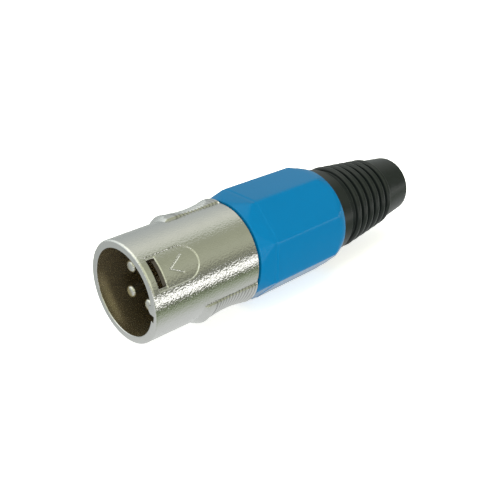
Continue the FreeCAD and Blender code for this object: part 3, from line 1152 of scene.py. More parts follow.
    def covers(self, x: float, s: float, r: float) -> bool:
        """Tell where the plate's own lines carry the skin.

        Args:
            x: Distance along the axis.
            s: Way round on the flat skin.
            r: Radius that the skin is wrapped on.

        Returns:
            True near the window, the walls and the mark.
        """
        if self.outside_window(x, math.degrees(s / r), r) < self.outer_margin:
            return True
        v = r * math.sin(s / r)
        on_wall = -self.outer_margin < self.inside(x, v) < self.inner_margin
        return abs(s) < self.reach_s and (on_wall or self.from_mark(x, v) < self.mark_margin)


@dataclass
class Thread:
    """Right-hand screw thread cut on a spigot.

    The levels are where a turn's profile leaves the crest, reaches the root, leaves the root
    and reaches the crest, as shares of the pitch.
    """

    start: float = 24.1
    end: float = 32.5
    crest_r: float = 8.9
    depth: float = 0.5
    pitch: float = 1.5
    fade: float = 0.5
    levels: tuple[float, ...] = (0.1, 0.38, 0.62, 0.9)
    step: float = 0.02
    steps_round: int = 72

    def radius(self, x: float, bearing: float) -> float:
        """Radius of the threaded spigot.

        Args:
            x: Distance along the axis.
            bearing: Bearing from the latch.

        Returns:
            The radius in millimetres.
        """
        phase = (x / self.pitch - bearing / FULL_TURN) % 1.0
        a, b, c, d = self.levels
        if phase < a or phase > d:
            low = 0.0
        elif phase < b:
            low = (phase - a) / (b - a)
        elif phase <= c:
            low = 1.0
        else:
            low = (d - phase) / (d - c)
        ease = smooth_step((x - self.start) / self.fade) * smooth_step((self.end - x) / self.fade)
        neck = 1.0 if x < self.start else 0.0
        return self.crest_r - self.depth * max(low * ease, neck)

    def draw(self, skin: FlatSkin) -> None:
        """Lay the edges of the thread's crests and roots into the skin.

        Args:
            skin: The flat skin of the spigot.
        """
        first = math.floor(self.start / self.pitch) - 1
        last = math.ceil(self.end / self.pitch) + 1
        for turn in range(first, last + 1):
            for level in self.levels:
                middle = (turn + level) * self.pitch
                points = []
                for step in range(self.steps_round + 1):
                    share = step / self.steps_round
                    x = middle + self.pitch * (share - 0.5)
                    if self.start + self.step < x < self.end:
                        points.append((x, skin.half * (2 * share - 1)))
                if len(points) > 1:
                    skin.line(points)


@dataclass
class KeyRib:
    """Round-topped rib along the mouth's wall, that starts flush with the rim.

    The steps are the mesh's own lines, as shares of the rounding's radius. Past the reach, in
    radians, the wall is plain.
    """

    bearing: float = 38.9
    centre_r: float = 8.1
    round_r: float = 0.9
    root: float = 0.3
    end: float = 13.0
    steps: tuple[float, ...] = (0.0, 0.3, 0.55, 0.75, 0.88, 0.96, 1.0, 1.06, 1.15, 1.3)
    rows: int = 12
    reach: float = 0.25
    side_margin_deg: float = 7.0
    end_margin: float = 0.1

    def radius(self, bearing: float, wall_r: float) -> float:
        """Radius of the mouth's wall, with the rib and its soft root on it.

        Args:
            bearing: Bearing from the latch.
            wall_r: Radius of the wall beside the rib.

        Returns:
            The radius in millimetres.
        """
        lean = math.radians(bearing - self.bearing)
        if abs(lean) > self.reach:
            return wall_r
        across = abs(self.centre_r * math.sin(lean))
        if across < self.round_r:
            r = self.centre_r * math.cos(lean) - math.sqrt(self.round_r**2 - across**2)
        else:
            r = wall_r + self.root
        blend = max(self.root - abs(r - wall_r), 0.0) / self.root
        return min(r, wall_r) - blend**2 * self.root / 4

    def draw(self, skin: FlatSkin) -> None:
        """Lay the rib's slopes into the skin.

        Args:
            skin: The flat skin of the mouth.
        """
        middle = skin.s_at(self.bearing)
        scale = skin.wrap_r / self.centre_r
        for share in self.steps:
            for sign in (1, -1):
                s = middle + sign * self.round_r * share * scale
                length = self.end - skin.start
                skin.line((skin.start + length * i / self.rows, s) for i in range(self.rows + 1))

    def covers(self, x: float, bearing: float) -> bool:
        """True where the rib's own lines carry the skin."""
        beside = abs(bearing - self.bearing) < self.side_margin_deg
        return beside and x < self.end + self.end_margin


@dataclass
class Notch:
    """Small notch in the mouth's wall, beside the key rib.

    Past the reach, in radians, the wall is plain.
    """

    bearing: float = 49.4
    half: float = 0.65
    length: float = 2.4
    r: float = 8.65
    step: float = 0.02
    reach: float = 0.3
    side_margin_deg: float = 6.0
    end_margin: float = 0.2

    def share(self, x: float, bearing: float, wall_r: float) -> float:
        """How far a place lies down in the notch.

        Args:
            x: Distance along the axis.
            bearing: Bearing from the latch.
            wall_r: Radius of the wall beside the notch.

        Returns:
            Nought on the wall, and one on the notch's floor.
        """
        lean = math.radians(bearing - self.bearing)
        if abs(lean) >= self.reach or x >= self.length:
            return 0.0
        across = wall_r * math.sin(lean)
        side = smooth_step((self.half - abs(across)) / (2 * self.step))
        return side * smooth_step((self.length - x) / (2 * self.step))

    def draw(self, skin: FlatSkin, wall_r: float) -> None:
        """Lay the notch's walls into the skin.

        Args:
            skin: The flat skin of the mouth.
            wall_r: Radius of the wall beside the notch.
        """
        middle = skin.s_at(self.bearing)
        for inset in (0.0, self.step, 2 * self.step):
            side = (self.half - inset) * skin.wrap_r / wall_r
            low, high, end = middle - side, middle + side, self.length - inset
            skin.line([(skin.start, low), (end, low), (end, high), (skin.start, high)])

    def covers(self, x: float, bearing: float) -> bool:
        """True where the notch's own lines carry the skin."""
        beside = abs(bearing - self.bearing) < self.side_margin_deg
        return beside and x < self.length + self.end_margin


@dataclass
class Shell:
    """Nickel-plated shell: barrel, thumb grips, latch plate, key rib and threaded spigot.

    Steps and rows are the mesh's own lines, and margins are how far other points stay from
    lines that are drawn. The normal at a corner is read by a probe that is set in from it, and
    is trusted where its cosine to the face's own normal is large enough.
    """

    barrel_r: float = 9.5
    mouth_r: float = 8.05
    barrel_end: float = 23.2
    rim_outer: float = 0.45
    rim_inner: float = 0.2
    stop_ring: tuple[float, float, float] = (13.0, 14.2, 7.2)
    back_bore_r: float = 8.0
    spigot_end: float = 33.0
    slot_front: float = 25.2
    slot_half: float = 1.22
    step: float = 0.02
    inset: float = 0.15
    probe: float = 0.006
    trusted_cosine: float = 0.8
    crease_deg: float = 42.0
    columns: int = 120
    outer_pitch: float = 0.65
    inner_pitch: float = 1.0
    edge_steps: tuple[float, ...] = (0.0, 0.1, 0.3, 0.6, 1.0)
    rim_rows: int = 6
    lip_rows: int = 4
    edge_margin: float = 0.3
    end_margin: float = 0.2
    window_margin: float = 0.15
    outside_depth: float = 0.2
    grip_bearings: tuple[float, ...] = (90.0, -90.0)
    grip: Grip = field(default_factory=Grip)
    plate: LatchPlate = field(default_factory=LatchPlate)
    thread: Thread = field(default_factory=Thread)
    rib: KeyRib = field(default_factory=KeyRib)
    notch: Notch = field(default_factory=Notch)

    def outer_r(self, x: float, bearing: float) -> float:
        """Radius of the outside.

        Args:
            x: Distance along the axis.
            bearing: Bearing from the latch.

        Returns:
            The radius in millimetres.
        """
        if x > self.barrel_end - SAME_PLACE:
            return self.thread.radius(x, bearing)
        r = self.barrel_r
        for centre in self.grip_bearings:
            lean = math.radians(within_half_turn(bearing - centre))
            if abs(lean) < self.grip.half_span + self.grip.side_margin:
                r += self.grip.rise(x, lean, self.barrel_r)
        r -= self.plate.drop(x, bearing, self.barrel_r)
        return r - EndRound.drop(self.barrel_end - self.step - x)

    def inner_r(self, x: float, bearing: float) -> float:
        """Radius of the inside.

        Args:
            x: Distance along the axis.
            bearing: Bearing from the latch.

        Returns:
            The radius in millimetres.
        """
        ring_start, ring_end, ring_r = self.stop_ring
        if x >= ring_end:
            return self.back_bore_r
        if x > ring_start - self.step / 2:
            return ring_r
        r = self.rib.radius(bearing, self.mouth_r)
        return r + (self.notch.r - r) * self.notch.share(x, bearing, self.mouth_r)

    def slot_side(self, wrap_r: float) -> float:
        """Half of a lug slot's width on a flat skin, from its width at the middle of the wall."""
        return self.slot_half * wrap_r / ((self.thread.crest_r + self.back_bore_r) / 2)

    def in_slot(self, x: float, s: float, wrap_r: float) -> bool:
        """True inside one of the spigot's two lug slots."""
        beside = abs(abs(s) - math.pi / 2 * wrap_r) < self.slot_side(wrap_r)
        return x >= self.slot_front and beside

    def back_line(self, skin: FlatSkin) -> list[Point]:
        """Outline of the spigot's end, in and out of the slots.

        Args:
            skin: The flat skin.

        Returns:
            The corners of the outline, as (x, s).
        """
        half = self.slot_side(skin.wrap_r)
        end, front = self.spigot_end, self.slot_front
        line: list[Point] = [(end, -skin.half)]
        for middle in (-math.pi / 2 * skin.wrap_r, math.pi / 2 * skin.wrap_r):
            low, high = middle - half, middle + half
            line += [(end, low), (front, low), (front, high), (end, high)]
        return line + [(end, skin.half)]

    def along_back(self, skin: FlatSkin) -> Along:
        """Make a measure along the spigot's end.

        Args:
            skin: The flat skin.

        Returns:
            A function that gives the distance along the outline, or None off it.
        """
        corners = self.back_line(skin)
        scale = 1.0 / skin.wrap_r
        near = SAME_PLACE

        def measure(x: float, s: float) -> float | None:
            """Distance along the outline, with the way round counted in radians.

            Args:
                x: Distance along the axis.
                s: Way round on the flat skin.

            Returns:
                The distance, or None off the outline.
            """
            run = 0.0
            for (ax, a_s), (bx, b_s) in zip(corners, corners[1:]):
                on_line = abs(x - ax) < near if ax == bx else abs(s - a_s) < near
                within = min(ax, bx) - near <= x <= max(ax, bx) + near
                within = within and min(a_s, b_s) - near <= s <= max(a_s, b_s) + near
                if on_line and within:
                    return run + abs(x - ax) + abs(s - a_s) * scale
                run += abs(bx - ax) + abs(b_s - a_s) * scale
            return None

        return measure

    def outside(self) -> tuple[FlatSkin, Sheet]:
        """Triangulate the outside.

        Returns:
            The flat skin and the lifted sheet.
        """
        skin = FlatSkin(self.rim_outer, self.spigot_end, self.barrel_r, self.columns)
        self.plate.draw(skin)
        for centre in self.grip_bearings:
            self.grip.draw(skin, centre)
        self.thread.draw(skin)
        edge = self.barrel_end - self.step
        for share in self.edge_steps:
            skin.ring(edge - EndRound.radius * share)
        for x in (self.barrel_end, self.thread.start - self.thread.step, self.thread.start):
            skin.ring(x)
        skin.ring(self.thread.end)
        skin.line(self.back_line(skin))

        def clear(x: float, s: float) -> bool:
            """Tell what is free of the plate's walls, the grips and the thread.

            Args:
                x: Distance along the axis.
                s: Way round on the flat skin.

            Returns:
                True where a point may be laid.
            """
            on_thread = self.barrel_end - self.edge_margin < x < self.spigot_end - self.end_margin
            on_plate = self.plate.covers(x, s, skin.wrap_r)
            lean = self.grip_lean(skin.bearing_at(s))
            on_grip = x < self.barrel_end and self.grip.covers(x, lean)
            return not (on_thread or on_plate or on_grip)

        skin.cover(self.outer_pitch, clear)
        return skin, skin.mesh(self.outer_r, lambda x, s: self._open(x, s, skin.wrap_r))

    def grip_lean(self, bearing: float) -> float:
        """Angle in radians from the middle of the nearest grip, for the two equal grips."""
        return math.radians(abs(bearing) - max(self.grip_bearings))

    def inside(self) -> tuple[FlatSkin, Sheet]:
        """Triangulate the inside.

        Returns:
            The flat skin and the lifted sheet.
        """
        skin = FlatSkin(self.rim_inner, self.spigot_end, self.barrel_r, self.columns)
        self.rib.draw(skin)
        ring_start, ring_end, _ = self.stop_ring
        for x in (ring_start - self.step, ring_start, ring_end - self.step, ring_end):
            skin.ring(x)
        skin.line(self.plate.window(0.0, skin.wrap_r), closed=True)
        self.notch.draw(skin, self.mouth_r)
        skin.line(self.back_line(skin))

        def clear(x: float, s: float) -> bool:
            """Tell what is free of the rib, the notch and the window.

            Args:
                x: Distance along the axis.
                s: Way round on the flat skin.

            Returns:
                True where a point may be laid.
            """
            bearing = skin.bearing_at(s)
            from_window = self.plate.outside_window(x, bearing, skin.wrap_r)
            taken = self.rib.covers(x, bearing) or self.notch.covers(x, bearing)
            return not taken and from_window >= self.window_margin

        skin.cover(self.inner_pitch, clear)
        return skin, skin.mesh(self.inner_r, lambda x, s: self._open(x, s, skin.wrap_r))

    def _open(self, x: float, s: float, wrap_r: float) -> bool:
        """True inside the latch window or a lug slot."""
        return self.plate.in_window(x, s, wrap_r) or self.in_slot(x, s, wrap_r)

    def rim(self, bearings: Sequence[float]) -> list[list[Vector]]:
        """Rows of points over the mouth's rim, from the outside in.

        Args:
            bearings: Bearings from the latch of the columns.

        Returns:
            The rows.
        """
        rows = []
        for step in range(1, self.rim_rows + 1):
            turn = math.pi / 2 * step / self.rim_rows
            x = self.rim_outer * (1 - math.sin(turn))
            r = self.barrel_r - self.rim_outer * (1 - math.cos(turn))
            rows.append([about_axis(x, r, LATCH_BEARING + b) for b in bearings])
        for step in range(self.lip_rows + 1):
            turn = math.pi / 2 * step / self.lip_rows
            x = self.rim_inner * (1 - math.cos(turn))
            over = self.rim_inner * (1 - math.sin(turn))
            radii = [self.inner_r(self.rim_inner, b) + over for b in bearings]
            rows.append([about_axis(x, r, LATCH_BEARING + b) for r, b in zip(radii, bearings)])
        return rows

    def build(self) -> bpy.types.Object:
        """Make the shell.

        Returns:
            The piece, in three finishes: outside and rim, mouth darkened with painted shade and
                painted reflection, and cut walls darkened further with painted shade.
        """
        skin, outer = self.outside()
        _, inner = self.inside()
        shift = len(outer.points)
        points = outer.points + inner.points
        inner_faces = [tuple(i + shift for i in face) for face in inner.faces]
        walls = self.bridge_back(skin, outer, inner) + self.bridge_window(skin, outer, inner)
        rim_points, rim_faces = self.bridge_rim(skin, outer, inner)
        points += rim_points

        mesh = bpy.data.meshes.new("shell_plated")
        mesh.from_pydata(points, [], outer.faces + rim_faces + walls + inner_faces)
        finishes = [0] * (len(outer.faces) + len(rim_faces))
        # The cut walls take the darker finish with painted shade, and the inside takes the mouth's
        # finish with painted shade and reflection.
        finishes += [2] * len(walls) + [1] * len(inner_faces)
        mesh.polygons.foreach_set("material_index", finishes)
        side = mesh.attributes.new("side", "INT", "FACE")
        plain = [Side.NONE] * (len(rim_faces) + len(walls))
        sides = [Side.OUTER] * len(outer.faces) + plain + [Side.INNER] * len(inner_faces)
        side.data.foreach_set("value", [one.value for one in sides])
        loose = close_skin(mesh, gap=FINE_JOIN_GAP)
        LOG.info("shell: %d faces, %d open edges", len(mesh.polygons), loose)
        piece = new_piece("shell_plated", mesh)
        for finish in (NICKEL, SHADED_MOUTH_PLATE, PAINTED_SHADE_WALL):
            mesh.materials.append(finish.build())
        mesh.set_sharp_from_angle(angle=math.radians(self.crease_deg))
        mesh.polygons.foreach_set("use_smooth", [True] * len(mesh.polygons))
        mesh.normals_split_custom_set(self.true_normals(mesh))
        mesh.attributes.remove(mesh.attributes["side"])
        self.mark_groove_shade(mesh)
        return piece

    def bridge_back(self, skin: FlatSkin, outer: Sheet, inner: Sheet) -> list[Triangle]:
        """Close the spigot's end and its slots.

        Args:
            skin: The flat skin of the outside.
            outer: The outside.
            inner: The inside.

        Returns:
            The triangles between the two.
        """
        along = self.along_back(skin)
        shift = len(outer.points)
        return zip_sheets(outer.border(along), inner.border(along, shift), closed=False)

    def bridge_window(self, skin: FlatSkin, outer: Sheet, inner: Sheet) -> list[Triangle]:
        """Close the latch window's walls.

        Args:
            skin: The flat skin of the outside.
            outer: The outside.
            inner: The inside.

        Returns:
            The triangles between the two.
        """

        def along(x: float, s: float) -> float | None:
            """Distance along the window's outline."""
            return self.plate.along_window(x, s, skin.wrap_r)

        shift = len(outer.points)
        return zip_sheets(outer.border(along), inner.border(along, shift), closed=True)

    def bridge_rim(
        self, skin: FlatSkin, outer: Sheet, inner: Sheet
    ) -> tuple[list[Vector], list[Triangle]]:
        """Round the mouth's rim.

        Args:
            skin: The flat skin of the outside.
            outer: The outside.
            inner: The inside.

        Returns:
            The rim's own points, which follow those of both sides, and its triangles.
        """
        shift = len(outer.points)
        front_out = outer.border(self.along_front(self.rim_outer))
        front_in = inner.border(self.along_front(self.rim_inner), shift)
        rows = self.rim([skin.bearing_at(s) for s, _ in front_in])
        first = shift + len(inner.points)
        lines = [front_out]
        for row in rows:
            lines.append([(s, first + column) for column, (s, _) in enumerate(front_in)])
            first += len(row)
        lines.append(front_in)
        faces: list[Triangle] = []
        for one, two in zip(lines, lines[1:]):
            faces += zip_sheets(one, two, closed=False)
        return [point for row in rows for point in row], faces

    @staticmethod
    def along_front(start: float) -> Along:
        """Make a measure round a sheet's front border.

        Args:
            start: Where the sheet starts.

        Returns:
            A function that gives the way round, or None off the border.
        """

        def measure(x: float, s: float) -> float | None:
            """Way round on the border."""
            return s if abs(x - start) < SAME_PLACE else None

        return measure

    def mark_groove_shade(self, mesh: bpy.types.Mesh) -> None:
        """Mark the grooves between the teeth, where the plating is darkened with painted shade.

        Args:
            mesh: The closed shell.
        """
        marks = mesh.attributes.new("groove", "FLOAT", "POINT")
        lowest = (self.barrel_r - self.outside_depth) * MM
        for vertex, mark in zip(mesh.vertices, marks.data):
            x, bearing = self.unwrap(vertex.co)
            if math.hypot(vertex.co.y, vertex.co.z) > lowest:
                mark.value = self.grip.groove(x, self.grip_lean(bearing))

    def true_normals(self, mesh: bpy.types.Mesh) -> list[Vector]:
        """Normals of the height fields at every corner, taken just inside each face.

        Args:
            mesh: The closed shell, with its sides marked.

        Returns:
            One normal for each corner.
        """
        fields = {Side.OUTER.value: (self.outer_r, 1.0), Side.INNER.value: (self.inner_r, -1.0)}
        kinds = mesh.attributes["side"].data
        normals = [corner.vector.copy() for corner in mesh.corner_normals]
        for face in mesh.polygons:
            radius, outward = fields.get(kinds[face.index].value, (None, 1.0))
            if radius is None:
                continue
            spots = [self.unwrap(mesh.vertices[i].co) for i in face.vertices]
            first = spots[0][1]
            spots = [(x, first + within_half_turn(b - first)) for x, b in spots]
            mid_x = sum(x for x, _ in spots) / len(spots)
            mid_b = sum(b for _, b in spots) / len(spots)
            for loop, (x, b) in zip(face.loop_indices, spots):
                x += (mid_x - x) * self.inset
                b += (mid_b - b) * self.inset
                normal = self.slope_normal(radius, x, b) * outward
                trusted = normal.dot(face.normal) > self.trusted_cosine
                normals[loop] = normal if trusted else face.normal.copy()
        return normals

    @staticmethod
    def unwrap(co: Vector) -> Point:
        """Distance along the axis and bearing from the latch of a point of the mesh."""
        bearing = math.degrees(math.atan2(-co.y, co.z)) - LATCH_BEARING
        return co.x / MM, within_half_turn(bearing)

    def slope_normal(self, radius: Radius, x: float, bearing: float) -> Vector:
        """Outward normal of a height field about the axis.

        Args:
            radius: Radius at (x, bearing from the latch).
            x: Distance along the axis.
            bearing: Bearing from the latch.

        Returns:
            The unit normal.
        """
        step = self.probe
        r = radius(x, bearing)
        turn = math.degrees(step / r)
        along = (radius(x + step, bearing) - radius(x - step, bearing)) / (2 * step)
        round_it = (radius(x, bearing + turn) - radius(x, bearing - turn)) / (2 * step)
        out = about_axis(0.0, 1.0, LATCH_BEARING + bearing) / MM
        across = about_axis(0.0, 1.0, LATCH_BEARING + bearing + HALF_TURN / 2) / MM
        return (out - across * round_it - Vector((along, 0.0, 0.0))).normalized()


@dataclass
class Collar:
    """Screwed collar of gloss plastic with eight milled flats.

    The flats' distances from the axis are those at the front, on the land behind the shoulder
    and at both ends of the main part, whose slope is laid out to an overrun past the end.
    """

    front: float = 23.42
    front_r: float = 9.8
    shoulder: float = 26.35
    full_r: float = 11.0
    taper_end: float = 43.6
    taper_r: float = 10.85
    end: float = 46.4
    end_r: float = 9.8
    flats: int = 8
    flat_front: float = 9.88
    flat_land: float = 10.14
    flat_main: float = 10.26
    flat_back: float = 10.06
    main_start: float = 27.4
    main_step: float = 0.45
    edge: float = 0.2
    thread_r: float = 9.0
    cone: tuple[float, float, float, float] = (33.4, 8.12, 43.3, 6.81)
    groove: tuple[float, float, float] = (43.3, 44.6, 9.35)
    neck_r: float = 8.9
    front_round: float = 0.22
    shoulder_round: float = 0.9
    taper_round: float = 2.2
    end_round: float = 0.5
    round_steps: int = 8
    outside_depth: float = 0.35
    overrun: float = 1.0
    front_pitch: float = 0.3
    back_pitch: float = 1.2
    step_shares: tuple[float, ...] = (-0.3, 0.0, 0.25, 0.5, 0.75, 1.0, 1.3)
    segments: int = 256
    crease_deg: float = 50.0

    def apothem(self, x: float, r: float) -> float:
        """Distance of the flats from the axis.

        Args:
            x: Distance along the axis.
            r: Radius of the profile there.

        Returns:
            The distance in millimetres, which is clear of the piece for points of the bore.
        """
        if r < self.front_r - self.outside_depth:
            return self.full_r * 2
        if x < self.shoulder:
            share = (x - self.front) / (self.shoulder - self.front)
            return self.flat_front + (self.flat_land - self.flat_front) * share
        share = (x - self.main_start) / (self.end + self.overrun - self.main_start)
        main = self.flat_main + (self.flat_back - self.flat_main) * share
        rise = smooth_step((x - self.main_start + self.main_step) / self.main_step)
        return self.flat_land + (main - self.flat_land) * rise

    def profile(self) -> list[Point]:
        """Closed profile of the collar.

        Returns:
            Points (x, r), outside first.
        """
        outside = rounded_line([
            (self.front, self.thread_r),
            (self.front, self.front_r, self.front_round),
            (self.shoulder, self.full_r, self.shoulder_round),
            (self.taper_end, self.taper_r, self.taper_round),
            (self.end, self.end_r, self.end_round),
            (self.end, self.neck_r),
        ], self.round_steps)
        cone_x, cone_r, cone_end, tip_r = self.cone
        groove_x, groove_end, groove_r = self.groove
        inside = [
            (self.end, self.neck_r), (groove_end, self.neck_r), (groove_end, groove_r),
            (groove_x, groove_r), (cone_end, tip_r), (cone_x, cone_r), (cone_x, self.thread_r),
            (self.front, self.thread_r),
        ]
        return self._fine(outside) + inside[1:]

    def _fine(self, line: Sequence[Point]) -> list[Point]:
        """Add stations where the flats' steps and slopes need them.

        Args:
            line: The outside, from the front to the end.

        Returns:
            The line with more points on it.
        """
        marks = [self.main_start - self.main_step * share for share in self.step_shares]
        fine: list[Point] = [line[0]]
        for (ax, ar), (bx, br) in zip(line, line[1:]):
            pitch = self.front_pitch if ax < self.main_start else self.back_pitch
            parts = max(1, math.ceil((bx - ax) / pitch))
            stations = [x for x in marks if ax < x < bx]
            stations += [ax + (bx - ax) * i / parts for i in range(1, parts)]
            fine += [(x, ar + (br - ar) * (x - ax) / (bx - ax)) for x in sorted(stations)]
            fine.append((bx, br))
        return fine

    def build(self) -> bpy.types.Object:
        """Make the collar.

        Returns:
            The piece.
        """
        milled = {"flats": self.flats, "apothem": self.apothem, "edge": self.edge}
        lathe = LatheTree(BLUE_GLOSS.build())
        piece = lathe.turn("collar_gloss", self.profile(), self.segments, **milled)
        soften(piece, self.crease_deg)
        return piece


@dataclass
class Boot:
    """Rubber bend relief: flange, neck, a tapering row of rings and a smooth end."""

    front: float = 43.35
    flange_r: float = 9.3
    flange_end: float = 44.55
    neck_r: float = 8.85
    neck_end: float = 49.8
    rings: int = 6
    first_ring: float = 52.25
    ring_pitch: float = 2.2
    first_ring_r: float = 8.72
    last_ring_r: float = 7.42
    ring_width: float = 1.3
    groove_depth: float = 0.85
    tip_start_r: float = 6.95
    tip_r: float = 5.95
    end: float = 71.2
    hole_r: float = 3.7
    hole_start: float = 58.2
    throat_r: float = 6.0
    flange_rounds: tuple[float, float] = (0.15, 0.1)
    neck_rounds: tuple[float, float] = (0.35, 0.3)
    groove_round: float = 0.2
    ring_round: float = 0.58
    tip_rounds: tuple[float, float, float] = (0.1, 0.7, 0.3)
    round_steps: int = 5
    segments: int = 128
    crease_deg: float = 50.0

    def ring_r(self, index: int) -> float:
        """Crest radius of a ring."""
        share = index / (self.rings - 1)
        return self.first_ring_r + (self.last_ring_r - self.first_ring_r) * share

    def profile(self) -> list[Point]:
        """Closed profile of the boot.

        Returns:
            Points (x, r), outside first.
        """
        flange_front, flange_back = self.flange_rounds
        neck_end, neck_foot = self.neck_rounds
        tip_start, tip_end, tip_hole = self.tip_rounds
        low = self.first_ring_r - self.groove_depth
        corners: list[tuple[float, ...]] = [
            (self.front, self.throat_r),
            (self.front, self.flange_r, flange_front),
            (self.flange_end, self.flange_r, flange_back),
            (self.flange_end, self.neck_r),
            (self.neck_end, self.neck_r, neck_end),
            (self.neck_end, low, neck_foot),
        ]
        for index in range(self.rings):
            start = self.first_ring + index * self.ring_pitch - self.ring_width / 2
            stop = start + self.ring_width
            crest = self.ring_r(index)
            last = index == self.rings - 1
            after = self.tip_start_r if last else self.ring_r(index + 1) - self.groove_depth
            corners += [(start, low, self.groove_round), (start, crest, self.ring_round)]
            corners.append((stop, crest, self.ring_round))
            corners.append((stop, after, tip_start if last else self.groove_round))
            low = after
        corners += [
            (self.end, self.tip_r, tip_end),
            (self.end, self.hole_r, tip_hole),
            (self.hole_start, self.hole_r),
            (self.hole_start, self.throat_r),
            (self.front, self.throat_r),
        ]
        return rounded_line(corners, self.round_steps)

    def build(self) -> bpy.types.Object:
        """Make the boot.

        Returns:
            The piece.
        """
        lathe = LatheTree(RUBBER.build())
        piece = lathe.turn("boot_ribbed", self.profile(), self.segments)
        soften(piece, self.crease_deg)
        return piece


@dataclass
class ContactPin:
    """Silver-plated contact pin with a domed tip, a seated head and a solder cup."""

    circle_r: float = 3.75
    r: float = 1.2
    tip: float = 3.3
    dome: float = 0.62
    shank_start: float = 13.0
    shank_r: float = 1.42
    head_start: float = 20.8
    head_r: float = 1.7
    insert_end: float = 22.0
    cup_r: float = 1.35
    cup_bore_r: float = 0.95
    cup_end: float = 28.0
    cup_floor: float = 24.4
    scoop: float = 2.4
    scoop_margin: float = 1.0
    dome_steps: int = 8
    segments: int = 48
    crease_deg: float = 50.0

    def profile(self) -> list[Point]:
        """Profile of the pin.

        Returns:
            Points (x, r), from the tip's pole to the cup's floor.
        """
        return rounded_line([
            (self.tip, 0),
            (self.tip, self.r, self.dome),
            (self.shank_start, self.r),
            (self.shank_start, self.shank_r),
            (self.head_start, self.shank_r),
            (self.head_start, self.head_r),
            (self.insert_end, self.head_r),
            (self.insert_end, self.cup_r),
            (self.cup_end, self.cup_r),
            (self.cup_end, self.cup_bore_r),
            (self.cup_floor, self.cup_bore_r),
            (self.cup_floor, 0),
        ], self.dome_steps)

    def build(self, number: int, from_latch: float, lathe: LatheTree) -> bpy.types.Object:
        """Make one pin.

        Args:
            number: The pin's number.
            from_latch: Its bearing from the latch.
            lathe: The tree that turns it.

        Returns:
            The piece.
        """
        piece = lathe.turn(f"contact_pin_{number}", self.profile(), self.segments)
        bearing = LATCH_BEARING + from_latch
        cutter = self.scoop_cutter(bearing)
        cut = piece.modifiers.new("scoop", "BOOLEAN")
        cut.operation, cut.object, cut.solver = "DIFFERENCE", cutter, "EXACT"
        evaluated = piece.evaluated_get(bpy.context.evaluated_depsgraph_get())
        whole = bpy.data.meshes.new_from_object(evaluated)
        piece.modifiers.remove(cut)
        bpy.data.objects.remove(cutter)
        piece.data = whole
        whole.transform(Matrix.Translation(about_axis(0, self.circle_r, bearing)))
        loose = close_skin(whole, gap=FINE_JOIN_GAP)
        if loose:
            LOG.warning("pin %d has %d open edges", number, loose)
        soften(piece, self.crease_deg)
        return piece

    def scoop_cutter(self, bearing: float) -> bpy.types.Object:
        """Make the box that opens the solder cup on its outer side.

        Args:
            bearing: Bearing of the pin.

        Returns:
            The box, in place for a pin on the axis.
        """
        margin = self.scoop_margin
        size = [self.scoop + margin, 2 * self.cup_r + margin, self.cup_r + margin]
        shift = Vector((self.cup_end + (margin - self.scoop) / 2, 0, size[2] / 2)) * MM
        place = Matrix.Rotation(math.radians(bearing), 4, "X") @ Matrix.Translation(shift)
        place = place @ Matrix.Diagonal((*[part * MM for part in size], 1.0))
        box = bpy.data.meshes.new("scoop")
        work = bmesh.new()
        bmesh.ops.create_cube(work, size=1.0)
        bmesh.ops.transform(work, matrix=place, verts=work.verts)
        work.to_mesh(box)
        work.free()
        return new_piece("scoop_cutter", box)


@dataclass(frozen=True)
class Band:
    """A stop of a banded colour: its place on the bands' scale, and its colour."""

    place: float
    colour: tuple[float, float, float]


@dataclass(frozen=True)
class Lamp:
    """A soft lamp: where it stands and its width and height in millimetres, and its watts."""

    name: str
    place: tuple[float, float, float]
    size: tuple[float, float]
    power: float


